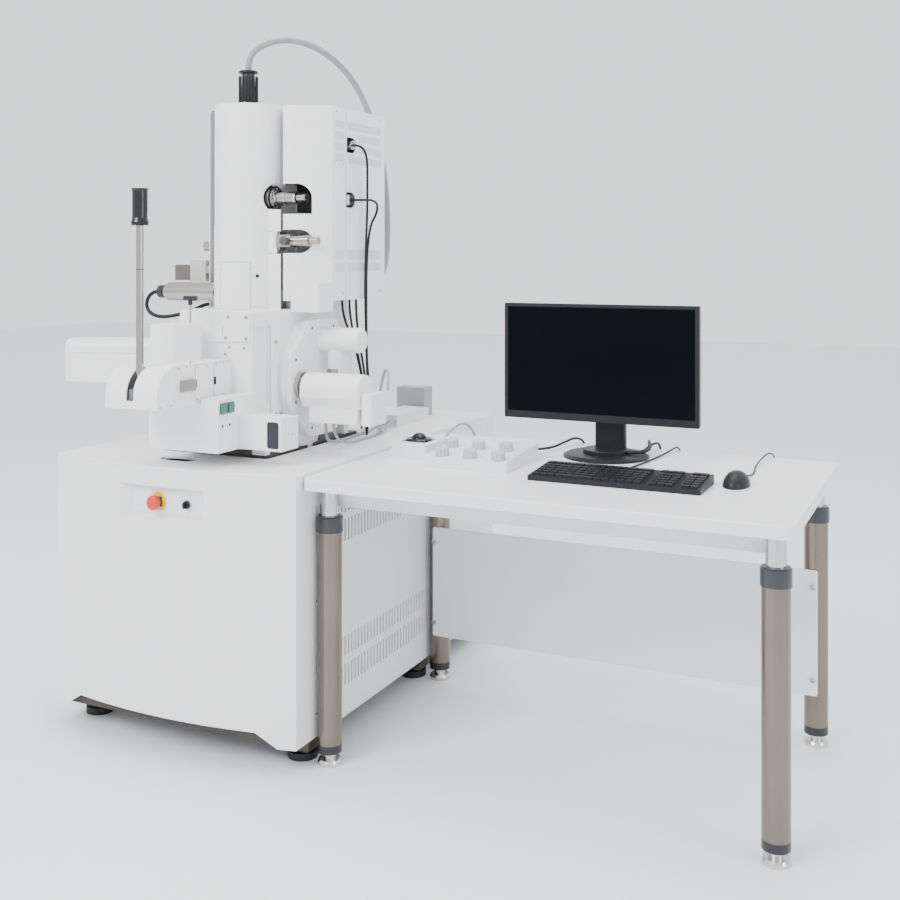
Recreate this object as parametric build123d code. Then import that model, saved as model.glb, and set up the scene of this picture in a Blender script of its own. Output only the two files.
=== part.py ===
from build123d import *
import os
from math import atan2, cos, hypot, radians, sin, tan, pi

# Scanning electron microscope with its operator desk, in millimetres.
# The layout frame has +X to the right along the desk front, +Y away from the operator,
# +Z up and the floor at zero. Every node is shifted to the centre of the whole at export.

# Console
console_left = -895.0
console_width = 765.0
console_right = console_left + console_width
console_front = -522.0
console_back = 687.0
console_bow = 48.0
console_top = 728.0
panel_bottom = 62.0
top_thickness = 6.0
sheet = 3.0
wrap_depth = 50.0
arch_rise = 35.0
arch_inset = 45.0
arch_run = 60.0
frame_bar = 40.0
clear = 0.3

# Switch recess in the front panel
recess_left = -650.0
recess_right = -376.0
recess_low = 576.0
recess_high = 678.0
recess_depth = 24.0
recess_side_slope = 37.0
recess_sill_slope = 24.0
plate_thick = 2.0
stop_x = -528.0
stop_z = 636.0
stop_ring_r = 24.0
stop_head_r = 18.5
stop_stem_r = 8.0
stop_travel = 5.0
selector_x = -437.0
selector_r = 9.0

# Vent slots in the side panel
vent_front = -427.0
vent_back = 158.0
vent_count = 35
vent_slot = 6.5
vent_rows = [(142.0, 198.0), (219.0, 271.0), (519.0, 577.0), (595.0, 638.0)]

# Chamber on its isolation base
chamber_left = -650.0
chamber_right = -353.0
chamber_front = -389.0
chamber_back = 113.0
chamber_bottom = 775.0
chamber_top = 1084.0
chamber_corner_r = 120.0
lens_plate_thick = 29.0
base_margin = 8.0
base_top = 735.0
base_thick = 23.0
base_overhang = 18.0
pump_neck_r = 165.0
port_y = -99.0
port_z = 922.0
port_r = 172.0
port_boss = 20.0
stage_plate_thick = 18.0
stage_plate_flats = 328.0
stage_bolt_circle = 300.0
stage_bolt_r = 5.0

# Electron column
column_x = -533.0
column_y = -152.0
column_tube_r = 68.0
cover_r = 95.0
cover_wall = 2.5
cover_top = 1690.0
rear_cover_left = -671.0
rear_cover_back = 20.0
rear_cover_round = 12.0
gun_boot_r = 18.0
gun_boot_top = 1793.0
drive_z = 1425.0
drive_angle = 4.0
drive_reach = 208.0
valve_z = 1304.0
valve_y = -184.0
valve_knob_x = -372.0
strip_front = -184.0
strip_right = -402.0
strip_top = 1397.0
pin_play = 0.05

# Electronics box beside the column
box_left = -433.0
box_right = -265.0
box_front = -132.0
box_back = 172.0
box_bottom = 1137.0
box_top = 1682.0
box_nose = (-388.0, -196.0)
box_shoulder = -108.0
box_bulge = (-322.0, -175.0)
box_round = 26.0
notch_right = -309.0
notch_back = -57.0
notch_rows = [(1379.0, 1463.0), (1270.0, 1335.0)]

# Airlock, its covers and the exchange lever
airlock_left = -577.0
airlock_right = -417.0
airlock_bottom = 889.0
airlock_top = 991.0
airlock_front = -617.0
nose_r = 70.0
nose_wall = 3.0
lever_x = -501.0
lever_y = -650.0
lever_z = 920.0
lever_rod_r = 9.5
lever_slot = 22.0
lever_rod_top = 1337.0
lever_grip_top = 1428.0
lever_grip_r = 19.0
gate_left = -561.0
gate_right = -484.0
gate_front = -541.0
gate_back = -430.0
gate_top = 1086.0

# Control box and camera box
control_left = -572.0
control_right = -353.0
control_front = -534.0
control_bottom = 767.0
control_shoulder = 902.0
button_size = 24.0
button_z = 878.0
button_travel = 3.0
camera_right = -221.0
camera_front = -450.0
camera_back = -373.0
camera_bottom = 768.0
camera_top = 851.0

# Long housing of the retractable detector on the left
long_housing_tip = (-1029.0, -355.0)
long_housing_root = (-783.0, -278.0)
long_housing_depth = 100.0
long_housing_low = 898.0
long_housing_high = 1021.0

# Operator desk
desk_width = 1163.0
desk_front = -507.0
desk_depth = 788.0
desk_top_z = 720.0
desk_thick = 28.0
desk_corner_r = 28.0
leg_left = -96.0
leg_right = 984.0
leg_front = -422.0
leg_back = 208.0
leg_r = 30.25
post_r = 21.5
post_low = 330.0
collar_low = 577.0
collar_high = 617.0
foot_r = 30.0
rail_drop = 59.0
rail_step = 42.0
modesty_low = 135.0
modesty_high = 457.0
modesty_corner_r = 6.0

# Desk equipment
screen_x = 443.0
screen_width = 541.0
screen_low = 816.0
screen_high = 1132.0
screen_face = 66.0
screen_thick = 18.0
stand_x = 454.0
stand_y = 101.0
stand_r = 115.0
tilt_z = 975.0
tilt_y = 102.0
keys_x = 378.0
keys_y = -288.0
keys_width = 418.0
keys_depth = 148.0
knob_r = 18.0
knob_height = 20.0
knob_pitch = 78.0
panel_left = 70.0
panel_width = 232.0
panel_front = -236.0
panel_depth = 222.0
panel_front_height = 27.0
panel_back_height = 44.0
ball_box_left = -69.0
ball_box_width = 106.0
ball_box_front = -155.0
ball_box_depth = 165.0
ball_box_height = 38.0
ball_r = 24.0
ball_x = -22.0
ball_y = -76.0

desk_left = console_right + clear
desk_right = desk_left + desk_width
desk_back = desk_front + desk_depth
desk_under = desk_top_z - desk_thick

# The centre of the whole, from its four outermost edges.
housing_run = hypot(long_housing_root[0] - long_housing_tip[0], long_housing_root[1] - long_housing_tip[1])
housing_turn = atan2(long_housing_root[1] - long_housing_tip[1], long_housing_root[0] - long_housing_tip[0])
outer_left = long_housing_tip[0] - long_housing_depth * sin(housing_turn)
outer_front = airlock_front - nose_r
centre_x = (outer_left + desk_right) / 2
centre_y = (outer_front + console_back) / 2

nodes = {}


def keep(name, *solids):
    """Shift the solids of one node to the centre of the whole and remember them."""
    to_centre = Location((-centre_x, -centre_y, 0))
    shapes = [part.moved(to_centre) for item in solids for part in item.solids()]
    nodes[name] = shapes[0] if len(shapes) == 1 else Compound(shapes)


def block(x0, x1, y0, y1, z0, z1):
    """A rectangular solid between two opposite corners."""
    return Pos((x0 + x1) / 2, (y0 + y1) / 2, (z0 + z1) / 2) * Box(x1 - x0, y1 - y0, z1 - z0)


def disc_z(x, y, z0, z1, r):
    return Pos(x, y, (z0 + z1) / 2) * Cylinder(r, z1 - z0)


def disc_x(x0, x1, y, z, r):
    return Pos((x0 + x1) / 2, y, z) * Rot(0, 90, 0) * Cylinder(r, x1 - x0)


def disc_y(x, y0, y1, z, r):
    return Pos(x, (y0 + y1) / 2, z) * Rot(90, 0, 0) * Cylinder(r, y1 - y0)


def soften(shape, axis, radius):
    """Round every edge of a shape that runs along one axis."""
    return fillet(shape.edges().filter_by(axis), radius)


def turned(points):
    """A solid of revolution about Z from its half outline of (radius, height) points."""
    outline = make_face(Polyline(*[(r, 0, z) for r, z in points], close=True))
    return revolve(outline, Axis.Z)


def arc_radii(points):
    """The largest tangent arc for each inner point of a cord's route."""
    radii = []
    for before, here, after in zip(points, points[1:], points[2:]):
        run_in = Vector(*here) - Vector(*before)
        run_out = Vector(*after) - Vector(*here)
        turn = radians(run_in.get_angle(run_out))
        radii.append(0.45 * min(run_in.length, run_out.length) / tan(turn / 2))
    return radii


def cord(name, points, diameter):
    """A cord as straight runs joined by tangent arcs."""
    radii = arc_radii(points)
    route = FilletPolyline(*points, radius=radii)
    print(name, "length", round(route.length), "arc radii", [round(r) for r in radii])
    start = Plane(origin=route @ 0, z_dir=route % 0)
    tube = sweep(start * Circle(diameter / 2), path=route)
    expected = pi * diameter ** 2 / 4 * route.length
    print(name, "volume ratio", round(tube.volume / expected, 4))
    return tube


# Console shell

def bowed_plan(back, inset=0.0):
    """The console's plan from its bowed front to a straight back edge."""
    left = (console_left + inset, console_front + inset)
    right = (console_right - inset, console_front + inset)
    middle = ((console_left + console_right) / 2, console_front - console_bow + inset)
    front = ThreePointArc(left, middle, right)
    sides = Polyline(right, (right[0], back), (left[0], back), left)
    return make_face(front.edges() + sides.edges())


def tapered(x0, x1, z0, z1, y0, side, sill, y1):
    """A pocket whose left side and sill slope inward between two depths."""
    mouth = Plane(origin=((x0 + x1) / 2, y0, (z0 + z1) / 2), x_dir=(1, 0, 0), z_dir=(0, -1, 0))
    floor = Plane(origin=((x0 + side + x1) / 2, y1, (z0 + sill + z1) / 2), x_dir=(1, 0, 0), z_dir=(0, -1, 0))
    faces = [mouth * Rectangle(x1 - x0, z1 - z0), floor * Rectangle(x1 - x0 - side, z1 - z0 - sill)]
    return loft(faces)


seam_y = console_front + wrap_depth
panel_top = console_top - top_thickness
front_face = console_front - console_bow
recess_floor = front_face + recess_depth


def front_panel():
    outer = Pos(0, 0, panel_bottom) * extrude(bowed_plan(seam_y), panel_top - panel_bottom)
    inner = extrude(bowed_plan(seam_y + sheet, sheet), panel_top - panel_bottom + 2)
    shell = outer - Pos(0, 0, panel_bottom - 1) * inner
    arch_low = (console_left + arch_inset, console_right - arch_inset)
    arch_high = (arch_low[0] + arch_run, arch_low[1] - arch_run)
    arch_points = [
        (arch_low[0], panel_bottom - 1),
        (arch_high[0], panel_bottom + arch_rise),
        (arch_high[1], panel_bottom + arch_rise),
        (arch_low[1], panel_bottom - 1),
    ]
    arch_plane = Plane(origin=(0, seam_y - sheet, 0), x_dir=(1, 0, 0), z_dir=(0, -1, 0))
    arch = extrude(arch_plane * make_face(Polyline(*arch_points, close=True)), wrap_depth + console_bow)
    lining = block(recess_left - 6, recess_right + 6, front_face - 5, recess_floor + sheet, recess_low - 6, recess_high + 6)
    pocket = tapered(recess_left, recess_right, recess_low, recess_high, front_face - 2,
                     recess_side_slope, recess_sill_slope, recess_floor)
    stem_bore = disc_y(stop_x, recess_floor - 1, recess_floor + sheet + 1, stop_z, stop_stem_r + pin_play)
    selector_bore = disc_y(selector_x, recess_floor - 1, recess_floor + sheet + 1, stop_z, 4 + pin_play)
    return shell - arch + (lining & outer) - pocket - stem_bore - selector_bore


def switch_plate():
    low = recess_low + recess_sill_slope
    front = recess_floor - plate_thick
    plate = block(recess_left + recess_side_slope + 4, recess_right - 4, front, recess_floor, low + 4, recess_high - 4)
    ring = disc_y(stop_x, front - 2, front, stop_z, stop_ring_r)
    neck = disc_y(stop_x, front - 10, front - 2, stop_z, stop_head_r - 6)
    bezel = disc_y(selector_x, front - 4, front, stop_z, selector_r + 2)
    stem_bore = disc_y(stop_x, front - 12, recess_floor + 1, stop_z, stop_stem_r + pin_play)
    selector_bore = disc_y(selector_x, front - 6, recess_floor + 1, stop_z, 4 + pin_play)
    return plate + ring + neck + bezel - stem_bore - selector_bore


def emergency_stop_button():
    """A mushroom head on a stem, pushed in toward the plate."""
    under = recess_floor - plate_thick - 10 - stop_travel - 1
    head = fillet(disc_y(stop_x, under - 12, under, stop_z, stop_head_r).edges().sort_by(Axis.Y)[0], 5)
    stem = disc_y(stop_x, under, recess_floor + sheet + 6, stop_z, stop_stem_r)
    return head + stem


def operation_selector():
    front = recess_floor - plate_thick - 4
    dial = disc_y(selector_x, front - 6 - clear, front - clear, stop_z, selector_r)
    bar = block(selector_x - 2.5, selector_x + 2.5, front - 12, front - 5, stop_z - selector_r + 1, stop_z + selector_r - 1)
    shaft = disc_y(selector_x, front - 1, recess_floor + sheet + 6, stop_z, 4)
    return dial + bar + shaft


side_back = console_back - sheet


def right_side_panel():
    """A flat side panel with four rows of upright vent slots."""
    panel = block(console_right - sheet, console_right, seam_y, side_back, panel_bottom, panel_top)
    pitch = (vent_back - vent_front) / (vent_count - 1)
    slots = []
    for low, high in vent_rows:
        for index in range(vent_count):
            y = vent_front + index * pitch
            slots.append(block(console_right - sheet - 1, console_right + 1,
                               y - vent_slot / 2, y + vent_slot / 2, low, high))
    return panel - slots


def left_and_rear_panel():
    """One folded sheet round the left side and the back."""
    left = block(console_left, console_left + sheet, seam_y, console_back, panel_bottom, panel_top)
    rear = block(console_left, console_right, side_back, console_back, panel_bottom, panel_top)
    return left + rear


cutout_left = chamber_left - base_overhang - base_margin + 6
cutout_right = -325.0
cutout_front = -361.0
cutout_back = chamber_back + 22
base_left = cutout_left + base_margin
base_right = cutout_right - base_margin
base_front = cutout_front + base_margin
base_back = cutout_back - base_margin


def top_plate():
    """The bowed top sheet with the chamber cut-out and an oval cable hole."""
    plate = Pos(0, 0, panel_top) * extrude(bowed_plan(console_back), top_thickness)
    rim = plate.edges().group_by(Axis.Z)[-1]
    plate = chamfer(rim, 2)
    opening = soften(block(cutout_left, cutout_right, cutout_front, cutout_back, panel_top - 1, console_top + 1), Axis.Z, 12)
    oval = extrude(Pos(-540, -452, panel_top - 1) * SlotOverall(110, 50), top_thickness + 2)
    return plate - opening - oval


def base_frame():
    """A welded frame of four posts, rails and two cross bars under the chamber."""
    left, right = console_left + sheet, console_right - sheet
    front, back = console_front + sheet + 1, side_back
    posts = [block(x, x + frame_bar, y, y + frame_bar, panel_bottom, panel_top)
             for x in (left, right - frame_bar) for y in (front, back - frame_bar)]
    rails = []
    for z in (panel_bottom, panel_top - frame_bar):
        rails += [block(x, x + frame_bar, front, back, z, z + frame_bar) for x in (left, right - frame_bar)]
        rails += [block(left, right, y, y + frame_bar, z, z + frame_bar) for y in (front, back - frame_bar)]
    cross_top = base_top - base_thick
    for y in (base_front + 20, base_back - 20 - frame_bar):
        rails.append(block(left, right, y, y + frame_bar, cross_top - frame_bar, cross_top))
    frame = posts[0]
    for bar in posts[1:] + rails:
        frame = frame + bar
    return frame


foot_rows = (-458.0, 155.0, 585.0)


def levelling_feet():
    """Six pads on screws under bracket blocks."""
    feet = []
    for x in (console_left + 6, console_right - 96):
        for y in foot_rows:
            bracket = block(x, x + 90, y, y + 90, 26, panel_bottom)
            bracket = chamfer(bracket.edges().group_by(Axis.Z)[0], 8)
            pad = disc_z(x + 45, y + 45, 0, 18, 38)
            stem = disc_z(x + 45, y + 45, 18, 26, 12)
            feet.append(bracket + stem + pad)
    return feet


def isolation_base():
    plate = block(base_left, base_right, base_front, base_back, base_top - base_thick, base_top)
    bore = disc_z((chamber_left + chamber_right) / 2, (chamber_front + chamber_back) / 2,
                  base_top - base_thick - 1, base_top + 1, pump_neck_r + 4)
    return soften(plate, Axis.Z, 8) - bore


# Chamber and stage

port_face = chamber_right + port_boss
stage_face = port_face + stage_plate_thick


def octagon(flats, corner, x0, x1):
    """A rounded octagonal plate facing +X, centred on the stage port."""
    radius = flats / 2 / cos(pi / 8)
    face = Plane(origin=(x0, port_y, port_z), x_dir=(0, 1, 0), z_dir=(1, 0, 0))
    flat = face * (Rot(0, 0, 22.5) * RegularPolygon(radius, 8))
    solid = extrude(flat, x1 - x0)
    return soften(solid, Axis.X, corner)


def chamber_block(z0, z1):
    """A block over the chamber's plan, rounded at its left corners, the front one widely."""
    middle = Pos((chamber_left + chamber_right) / 2, (chamber_front + chamber_back) / 2, z0)
    plan = middle * Rectangle(chamber_right - chamber_left, chamber_back - chamber_front)
    plan = fillet(plan.vertices().group_by(Axis.X)[0].sort_by(Axis.Y)[0], chamber_corner_r)
    plan = fillet(plan.vertices().group_by(Axis.Y)[-1].sort_by(Axis.X)[0], 25)
    return extrude(plan, z1 - z0)


def chamber():
    """The cast chamber with its side rib, stage port boss, legs and pump neck."""
    body = chamber_block(chamber_bottom, chamber_top)
    pocket = block(chamber_right - 8, chamber_right + 1, chamber_front + 6, -307, chamber_bottom + 92, chamber_top - 8)
    body = body - pocket
    rib = block(chamber_right, chamber_right + 9, -307, -281, chamber_bottom + 60, chamber_top - 4)
    boss = disc_x(chamber_right, port_face, port_y, port_z, port_r)
    boss = fillet(boss.edges().sort_by(Axis.X)[-1], 8)
    body = body + soften(rib, Axis.Z, 4) + boss
    neck = disc_z((chamber_left + chamber_right) / 2, (chamber_front + chamber_back) / 2,
                  base_top - base_thick, chamber_bottom, pump_neck_r)
    body = body + neck
    for x in (chamber_left + 60, chamber_right - 5):
        for y in (chamber_front + 48, chamber_back - 45):
            body = body + block(x - 20, x + 20, y - 12, y + 12, base_top, chamber_bottom + 4)
    cover_points = [(-443, 1036), (-357, 1036), (-357, 1110), (-436, 1110)]
    cover_plane = Plane(origin=(0, chamber_front - clear, 0), x_dir=(1, 0, 0), z_dir=(0, -1, 0))
    cover = extrude(cover_plane * make_face(Polyline(*cover_points, close=True)), 10)
    cover = chamfer(cover.faces().sort_by(Axis.Y)[0].edges(), 3)
    front_plate = block(-520, -443 - clear, chamber_front - 6, chamber_front, 1034, 1080)
    return [body, cover, front_plate]


def lens_plate():
    return chamber_block(chamber_top, chamber_top + lens_plate_thick)


ring_y = -213.0
ring_z = 908.0


def stage_plate():
    """The bolted stage plate with two steel feedthrough rings."""
    plate = octagon(stage_plate_flats, 45, port_face, stage_face)
    plate = fillet(plate.faces().sort_by(Axis.X)[-1].edges(), 3)
    for step in range(8):
        angle = radians(22.5 + 45 * step)
        y = port_y + stage_bolt_circle / 2 * cos(angle)
        z = port_z + stage_bolt_circle / 2 * sin(angle)
        plate = plate - disc_x(port_face - 1, stage_face + 1, y, z, stage_bolt_r)
    ring = disc_x(stage_face, stage_face + 12, ring_y, ring_z, 38)
    ring = ring + disc_x(stage_face + 12, stage_face + 24, ring_y, ring_z, 27)
    small_ring = disc_x(stage_face, stage_face + 14, port_y + 40, ring_z + 12, 26)
    return [plate, ring, small_ring]


cover_left = stage_face + 24
cover_right = -112.0


def stage_drive_covers():
    """White covers of the stage motors: a short barrel, a long hood and its end box."""
    barrel = disc_x(stage_face, stage_face + 130, port_y, 1026, 35)
    barrel = fillet(barrel.edges().sort_by(Axis.X)[-1], 12)
    drop = disc_z(stage_face + 45, port_y, 946, 1000, 25)
    section = Plane(origin=(cover_left, ring_y, 900), x_dir=(0, 1, 0), z_dir=(1, 0, 0))
    sides = Polyline((45, 0), (45, -18), (30, -45), (-30, -45), (-45, -18), (-45, 0))
    crown = ThreePointArc((-45, 0), (0, 45), (45, 0))
    hood = extrude(section * make_face(sides.edges() + crown.edges()), cover_right - cover_left)
    hood = fillet(hood.faces().sort_by(Axis.X)[-1].edges(), 5)
    under = block(cover_left + 25, cover_right - 8, ring_y - 36, ring_y + 36, 815, 900 - 45)
    end = block(cover_right, cover_right + 34, ring_y - 32, ring_y + 60, 813, 896)
    end = soften(end, Axis.Z, 12)
    return [barrel + (drop - barrel), hood, under, end]


# Electron column and its covers

slab_top = chamber_top + lens_plate_thick
drive_dir = (cos(radians(drive_angle)), -sin(radians(drive_angle)))


def along_drive(start, length, r):
    """A cylinder along the aperture drive's axis, from a distance off the column axis."""
    middle = start + length / 2
    spot = Pos(column_x + drive_dir[0] * middle, column_y + drive_dir[1] * middle, drive_z)
    return spot * Rot(0, 0, -drive_angle) * Rot(0, 90, 0) * Cylinder(r, length)


def electron_column():
    """The column tube with its aperture drive, its gate valve and the gun's cable boot."""
    tube = disc_z(column_x, column_y, slab_top, cover_top - 30, column_tube_r)
    barrel_end = drive_reach - 32
    drive = along_drive(20, 78, 34) + along_drive(98, 7, 30) + along_drive(105, barrel_end - 105, 16.5)
    drive = drive - along_drive(barrel_end - 12, 14, 5 + pin_play) - tube
    boss = block(column_x + 40, valve_knob_x - 36, strip_front + 5, strip_front + 37, valve_z - 26, valve_z + 26) - tube
    body = block(valve_knob_x - 36, valve_knob_x + 12, valve_y - 15, valve_y + 15, valve_z - 17, valve_z + 17)
    barrel = disc_x(valve_knob_x + 12, -305, valve_y, valve_z, 15.5) + disc_x(-305, -277, valve_y, valve_z, 10)
    valve = boss + body + barrel - disc_y(valve_knob_x, valve_y - 16, valve_y - 4, valve_z, 5 + pin_play)
    boot = turned([(0, 0), (26, 0), (26, 10), (gun_boot_r + 2, 14), (gun_boot_r, gun_boot_top - cover_top), (0, gun_boot_top - cover_top)])
    neck = disc_z(column_x, column_y, cover_top - 30, cover_top, 20)
    return [tube + neck, drive, valve, Pos(column_x, column_y, cover_top) * boot]


def aperture_knob():
    return along_drive(drive_reach - 30, 30, 12.5) + along_drive(drive_reach - 43, 13, 5)


def valve_knob():
    body = disc_y(valve_knob_x, valve_y - 33, valve_y - 15 - clear, valve_z, 12)
    return body + disc_y(valve_knob_x, valve_y - 16, valve_y - 5, valve_z, 5)


def cover_cuts():
    """Openings in the column covers for the drive, the valve and the side detector."""
    drive_hole = along_drive(80, 60, 40)
    valve_hole = block(column_x + 70, strip_right + 1, strip_front + 4, strip_front + 40, valve_z - 29, valve_z + 29)
    valve_hole = valve_hole + block(-414, strip_right + 1, strip_front - 1, strip_front + 40, valve_z - 36, valve_z + 27)
    notch = block(rear_cover_left - 5, column_x - 68, -224, -157, 1126, 1190)
    return drive_hole + valve_hole + notch


def column_front_cover():
    """A half-round cover with a closed top and a flat strip toward the box."""
    outer = disc_z(column_x, column_y, slab_top, cover_top, cover_r)
    inner = disc_z(column_x, column_y, slab_top - 1, cover_top - cover_wall, cover_r - cover_wall)
    front_half = block(column_x - 200, column_x + 200, column_y - 200, column_y, slab_top - 2, cover_top + 1)
    shell = (outer - inner) & front_half
    strip = block(column_x + 84, strip_right, strip_front, strip_front + cover_wall, slab_top, strip_top)
    strip = strip - disc_z(column_x, column_y, slab_top - 1, cover_top, cover_r - cover_wall)
    hole = disc_z(column_x, column_y, cover_top - 10, cover_top + 1, 20 + clear)
    return shell + strip - cover_cuts() - hole


def rear_plan(inset):
    """The rear cover's plan: a rounded U that opens toward the front."""
    left, right, back = rear_cover_left + inset, box_left - 6 - inset, rear_cover_back - inset
    corner = 60 - inset
    points = [(left, column_y + clear), (left, back), (right, back), (right, column_y + clear)]
    flat = make_face(Polyline(*points, close=True))
    return fillet(flat.vertices().group_by(Axis.Y)[-1], corner)


def round_rim(shape, radius):
    """Round the top edges of a cover, all but the open front one."""
    rim = shape.edges().group_by(Axis.Z)[-1]
    return fillet(rim.sort_by(Axis.Y)[1:], radius)


def column_rear_cover():
    outer = round_rim(Pos(0, 0, slab_top) * extrude(rear_plan(0), cover_top - slab_top), rear_cover_round)
    inner = Pos(0, -1, slab_top - 1) * extrude(rear_plan(cover_wall), cover_top - cover_wall - slab_top + 1)
    inner = round_rim(inner, rear_cover_round - cover_wall)
    hole = disc_z(column_x, column_y, cover_top - 10, cover_top + 1, 20 + clear)
    side_ports = [disc_x(rear_cover_left - 1, rear_cover_left + 5, -100, 1218, 24 + clear),
                  disc_x(rear_cover_left - 1, rear_cover_left + 5, -100, 1291, 15 + clear)]
    return outer - inner - hole - side_ports - cover_cuts()


def d_opening(low, high, front, depth):
    """A D-shaped hole through the box's right wall, round at its far side."""
    middle = (low + high) / 2
    radius = (high - low) / 2
    straight = block(box_right - 6, box_right + 1, front, front + depth - radius, low, high)
    return straight + disc_x(box_right - 6, box_right + 1, front + depth - radius, middle, radius)


def box_plan():
    """The box's plan: straight sides and a bulging front that reaches forward to a rounded nose."""
    corner, nose, shoulder = (box_right, box_front), box_nose, (box_left, box_shoulder)
    front = ThreePointArc(corner, box_bulge, nose)
    sides = Polyline(nose, shoulder, (box_left, box_back), (box_right, box_back), corner)
    plan = make_face(front.edges() + sides.edges())
    nose_vertex = plan.vertices().sort_by(Axis.Y)[0]
    return fillet(nose_vertex, box_round)


def electronics_box():
    """The two sheet covers of the column electronics over their riser, bracket and socket deck."""
    plan = box_plan()
    outer = Pos(0, 0, box_bottom) * extrude(plan, box_top - box_bottom)
    inner = Pos(0, 0, box_bottom + sheet) * extrude(offset(plan, amount=-sheet), box_top - box_bottom - 2 * sheet)
    upper, lower = [block(box_left - 1, notch_right, box_nose[1] - 20, notch_back, low, high) for low, high in notch_rows]
    upper = fillet(upper.edges().filter_by(Axis.Y).group_by(Axis.X)[-1].sort_by(Axis.Z)[-1], 40)
    lower = fillet(lower.edges().filter_by(Axis.Y).group_by(Axis.X)[-1], 30)
    shell = outer - inner - upper - lower
    shell = shell - d_opening(1557, 1601, -52, 52) - d_opening(1400, 1444, -55, 50)
    riser = block(box_left + 12, chamber_right, box_front + 6, box_back - 70, slab_top, box_bottom)
    riser = riser & block(box_left, chamber_right, box_front, chamber_back, slab_top, box_bottom)
    bracket = block(chamber_right, box_right + 2, -206, box_front, slab_top - 6, 1187)
    bracket = bracket - Pos(0, 0, box_bottom - clear) * extrude(offset(plan, amount=clear), 100)
    plugs = [disc_x(box_right - 40, box_right + 8, -30, 1579, 13),
             block(box_right - 40, box_right + 6, -50, -18, 1408, 1436)]
    socket_deck = block(box_left + sheet, box_right - 40, notch_back - 1, 10, 1390, 1610)
    front_cover = shell & block(box_left - 1, box_right + 1, box_nose[1] - 20, notch_back, box_bottom - 1, box_top + 1)
    rear_cover = shell - front_cover
    return [front_cover, rear_cover, riser, bracket, socket_deck + plugs[0] + plugs[1]]


# Detectors on the left

def side_detectors():
    """The steel barrel with its boot, the boxed detector and the small gauge."""
    barrel = disc_x(-783, -628, -190, 1158, 28)
    tube = disc_z(column_x, column_y, slab_top, cover_top, column_tube_r)
    barrel = barrel + disc_x(-795, -783, -190, 1158, 20) + disc_x(-628, -606, -190, 1158, 30)
    barrel = barrel + (disc_x(-606, -580, -190, 1158, 20) - tube)
    boot = turned([(0, 0), (10, 0), (19, 8), (19, 24), (0, 24)])
    boot = Pos(-795, -190, 1158) * Rot(0, -90, 0) * Pos(0, 0, 0) * boot
    flange = disc_x(-700, rear_cover_left - 4, -100, 1218, 32)
    flange = flange + (disc_x(rear_cover_left - 4, -565, -100, 1218, 24) - tube)
    pale_box = block(-756, -700, -132, -68, 1186, 1250)
    dark_box = block(-819, -756, -124, -76, 1190, 1236)
    gauge = disc_x(-723, -565, -100, 1291, 15) - tube
    return [barrel, boot, flange + pale_box + dark_box, gauge]


# Airlock

def airlock_housing():
    """The airlock body with the gate drive box on its back half and the clasp's lugs."""
    body = block(airlock_left, airlock_right, airlock_front + clear, chamber_front, airlock_bottom, airlock_top)
    gate = block(gate_left, gate_right, gate_front, gate_back, airlock_top, gate_top)
    gate = fillet(gate.edges().group_by(Axis.Z)[-1], 3)
    bore = disc_z(-497, -460, gate_top - 20, gate_top + 1, 2.5 + pin_play)
    lugs = [block(airlock_right, airlock_right + 10, -557, -547, z0, z0 + 6) for z0 in (919.7, 954.3)]
    pin_bore = disc_z(airlock_right + 5.5, -552, 915, 965, 1.5 + pin_play)
    whole = body + gate + lugs[0] + lugs[1]
    return whole - bore - pin_bore


def nose_section(inset):
    """The airlock nose in side view: a flat front that rounds into the top."""
    front, back = outer_front + inset, airlock_front
    low, high = airlock_bottom + inset, airlock_top - inset
    bend = nose_r - inset
    corner = (back, high)
    start = (front, high - bend)
    middle = (back - bend * cos(radians(45)), high - bend + bend * sin(radians(45)))
    arc = ThreePointArc(start, middle, corner)
    rest = Polyline(corner, (back, low), (front, low), start)
    return make_face(arc.edges() + rest.edges())


def side_prism(face, x0, x1):
    """Extrude a side-view face of (y, z) points from one X to another."""
    plane = Plane(origin=(x0, 0, 0), x_dir=(0, 1, 0), z_dir=(1, 0, 0))
    return extrude(plane * face, x1 - x0)


def airlock_cover():
    """The curved nose with the lever's slot and the two ears that carry its axle."""
    outer = side_prism(nose_section(0), airlock_left, airlock_right)
    inner = side_prism(nose_section(nose_wall), airlock_left + nose_wall, airlock_right - nose_wall)
    shell = outer - inner
    ears = [block(lever_x + side - 4, lever_x + side + 4, lever_y - 14, lever_y + 16, airlock_bottom + nose_wall, lever_z + 14)
            for side in (-18, 18)]
    shell = shell + ears[0] + ears[1]
    slot = block(lever_x - lever_slot / 2, lever_x + lever_slot / 2, outer_front - 1, lever_y + lever_slot / 2,
                 lever_z - lever_slot / 2, airlock_top + 1)
    bore = disc_x(lever_x - 30, lever_x + 30, lever_y, lever_z, 5 + pin_play)
    return shell - slot - bore


def exchange_lever():
    """The chromed rod on its hub and axle, with the black grip."""
    hub = disc_x(lever_x - 9, lever_x + 9, lever_y, lever_z, 14)
    axle = disc_x(lever_x - 21, lever_x + 21, lever_y, lever_z, 5)
    rod = disc_z(lever_x, lever_y, lever_z, lever_rod_top, lever_rod_r)
    length = lever_grip_top - lever_rod_top
    grip = turned([(0, 0), (lever_grip_r + 2, 0), (lever_grip_r + 3, 8), (lever_grip_r, 18),
                   (lever_grip_r, length - 6), (lever_grip_r + 3, length), (0, length)])
    return [hub + axle + rod, Pos(lever_x, lever_y, lever_rod_top) * grip]


def airlock_clasp():
    plate = block(airlock_right + clear, airlock_right + 8, -602, -553, 926, 954)
    knuckle = disc_z(airlock_right + 5.5, -552, 926, 954, 4.5)
    pin = disc_z(airlock_right + 5.5, -552, 920, 960, 1.5)
    return plate + knuckle + pin


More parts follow.
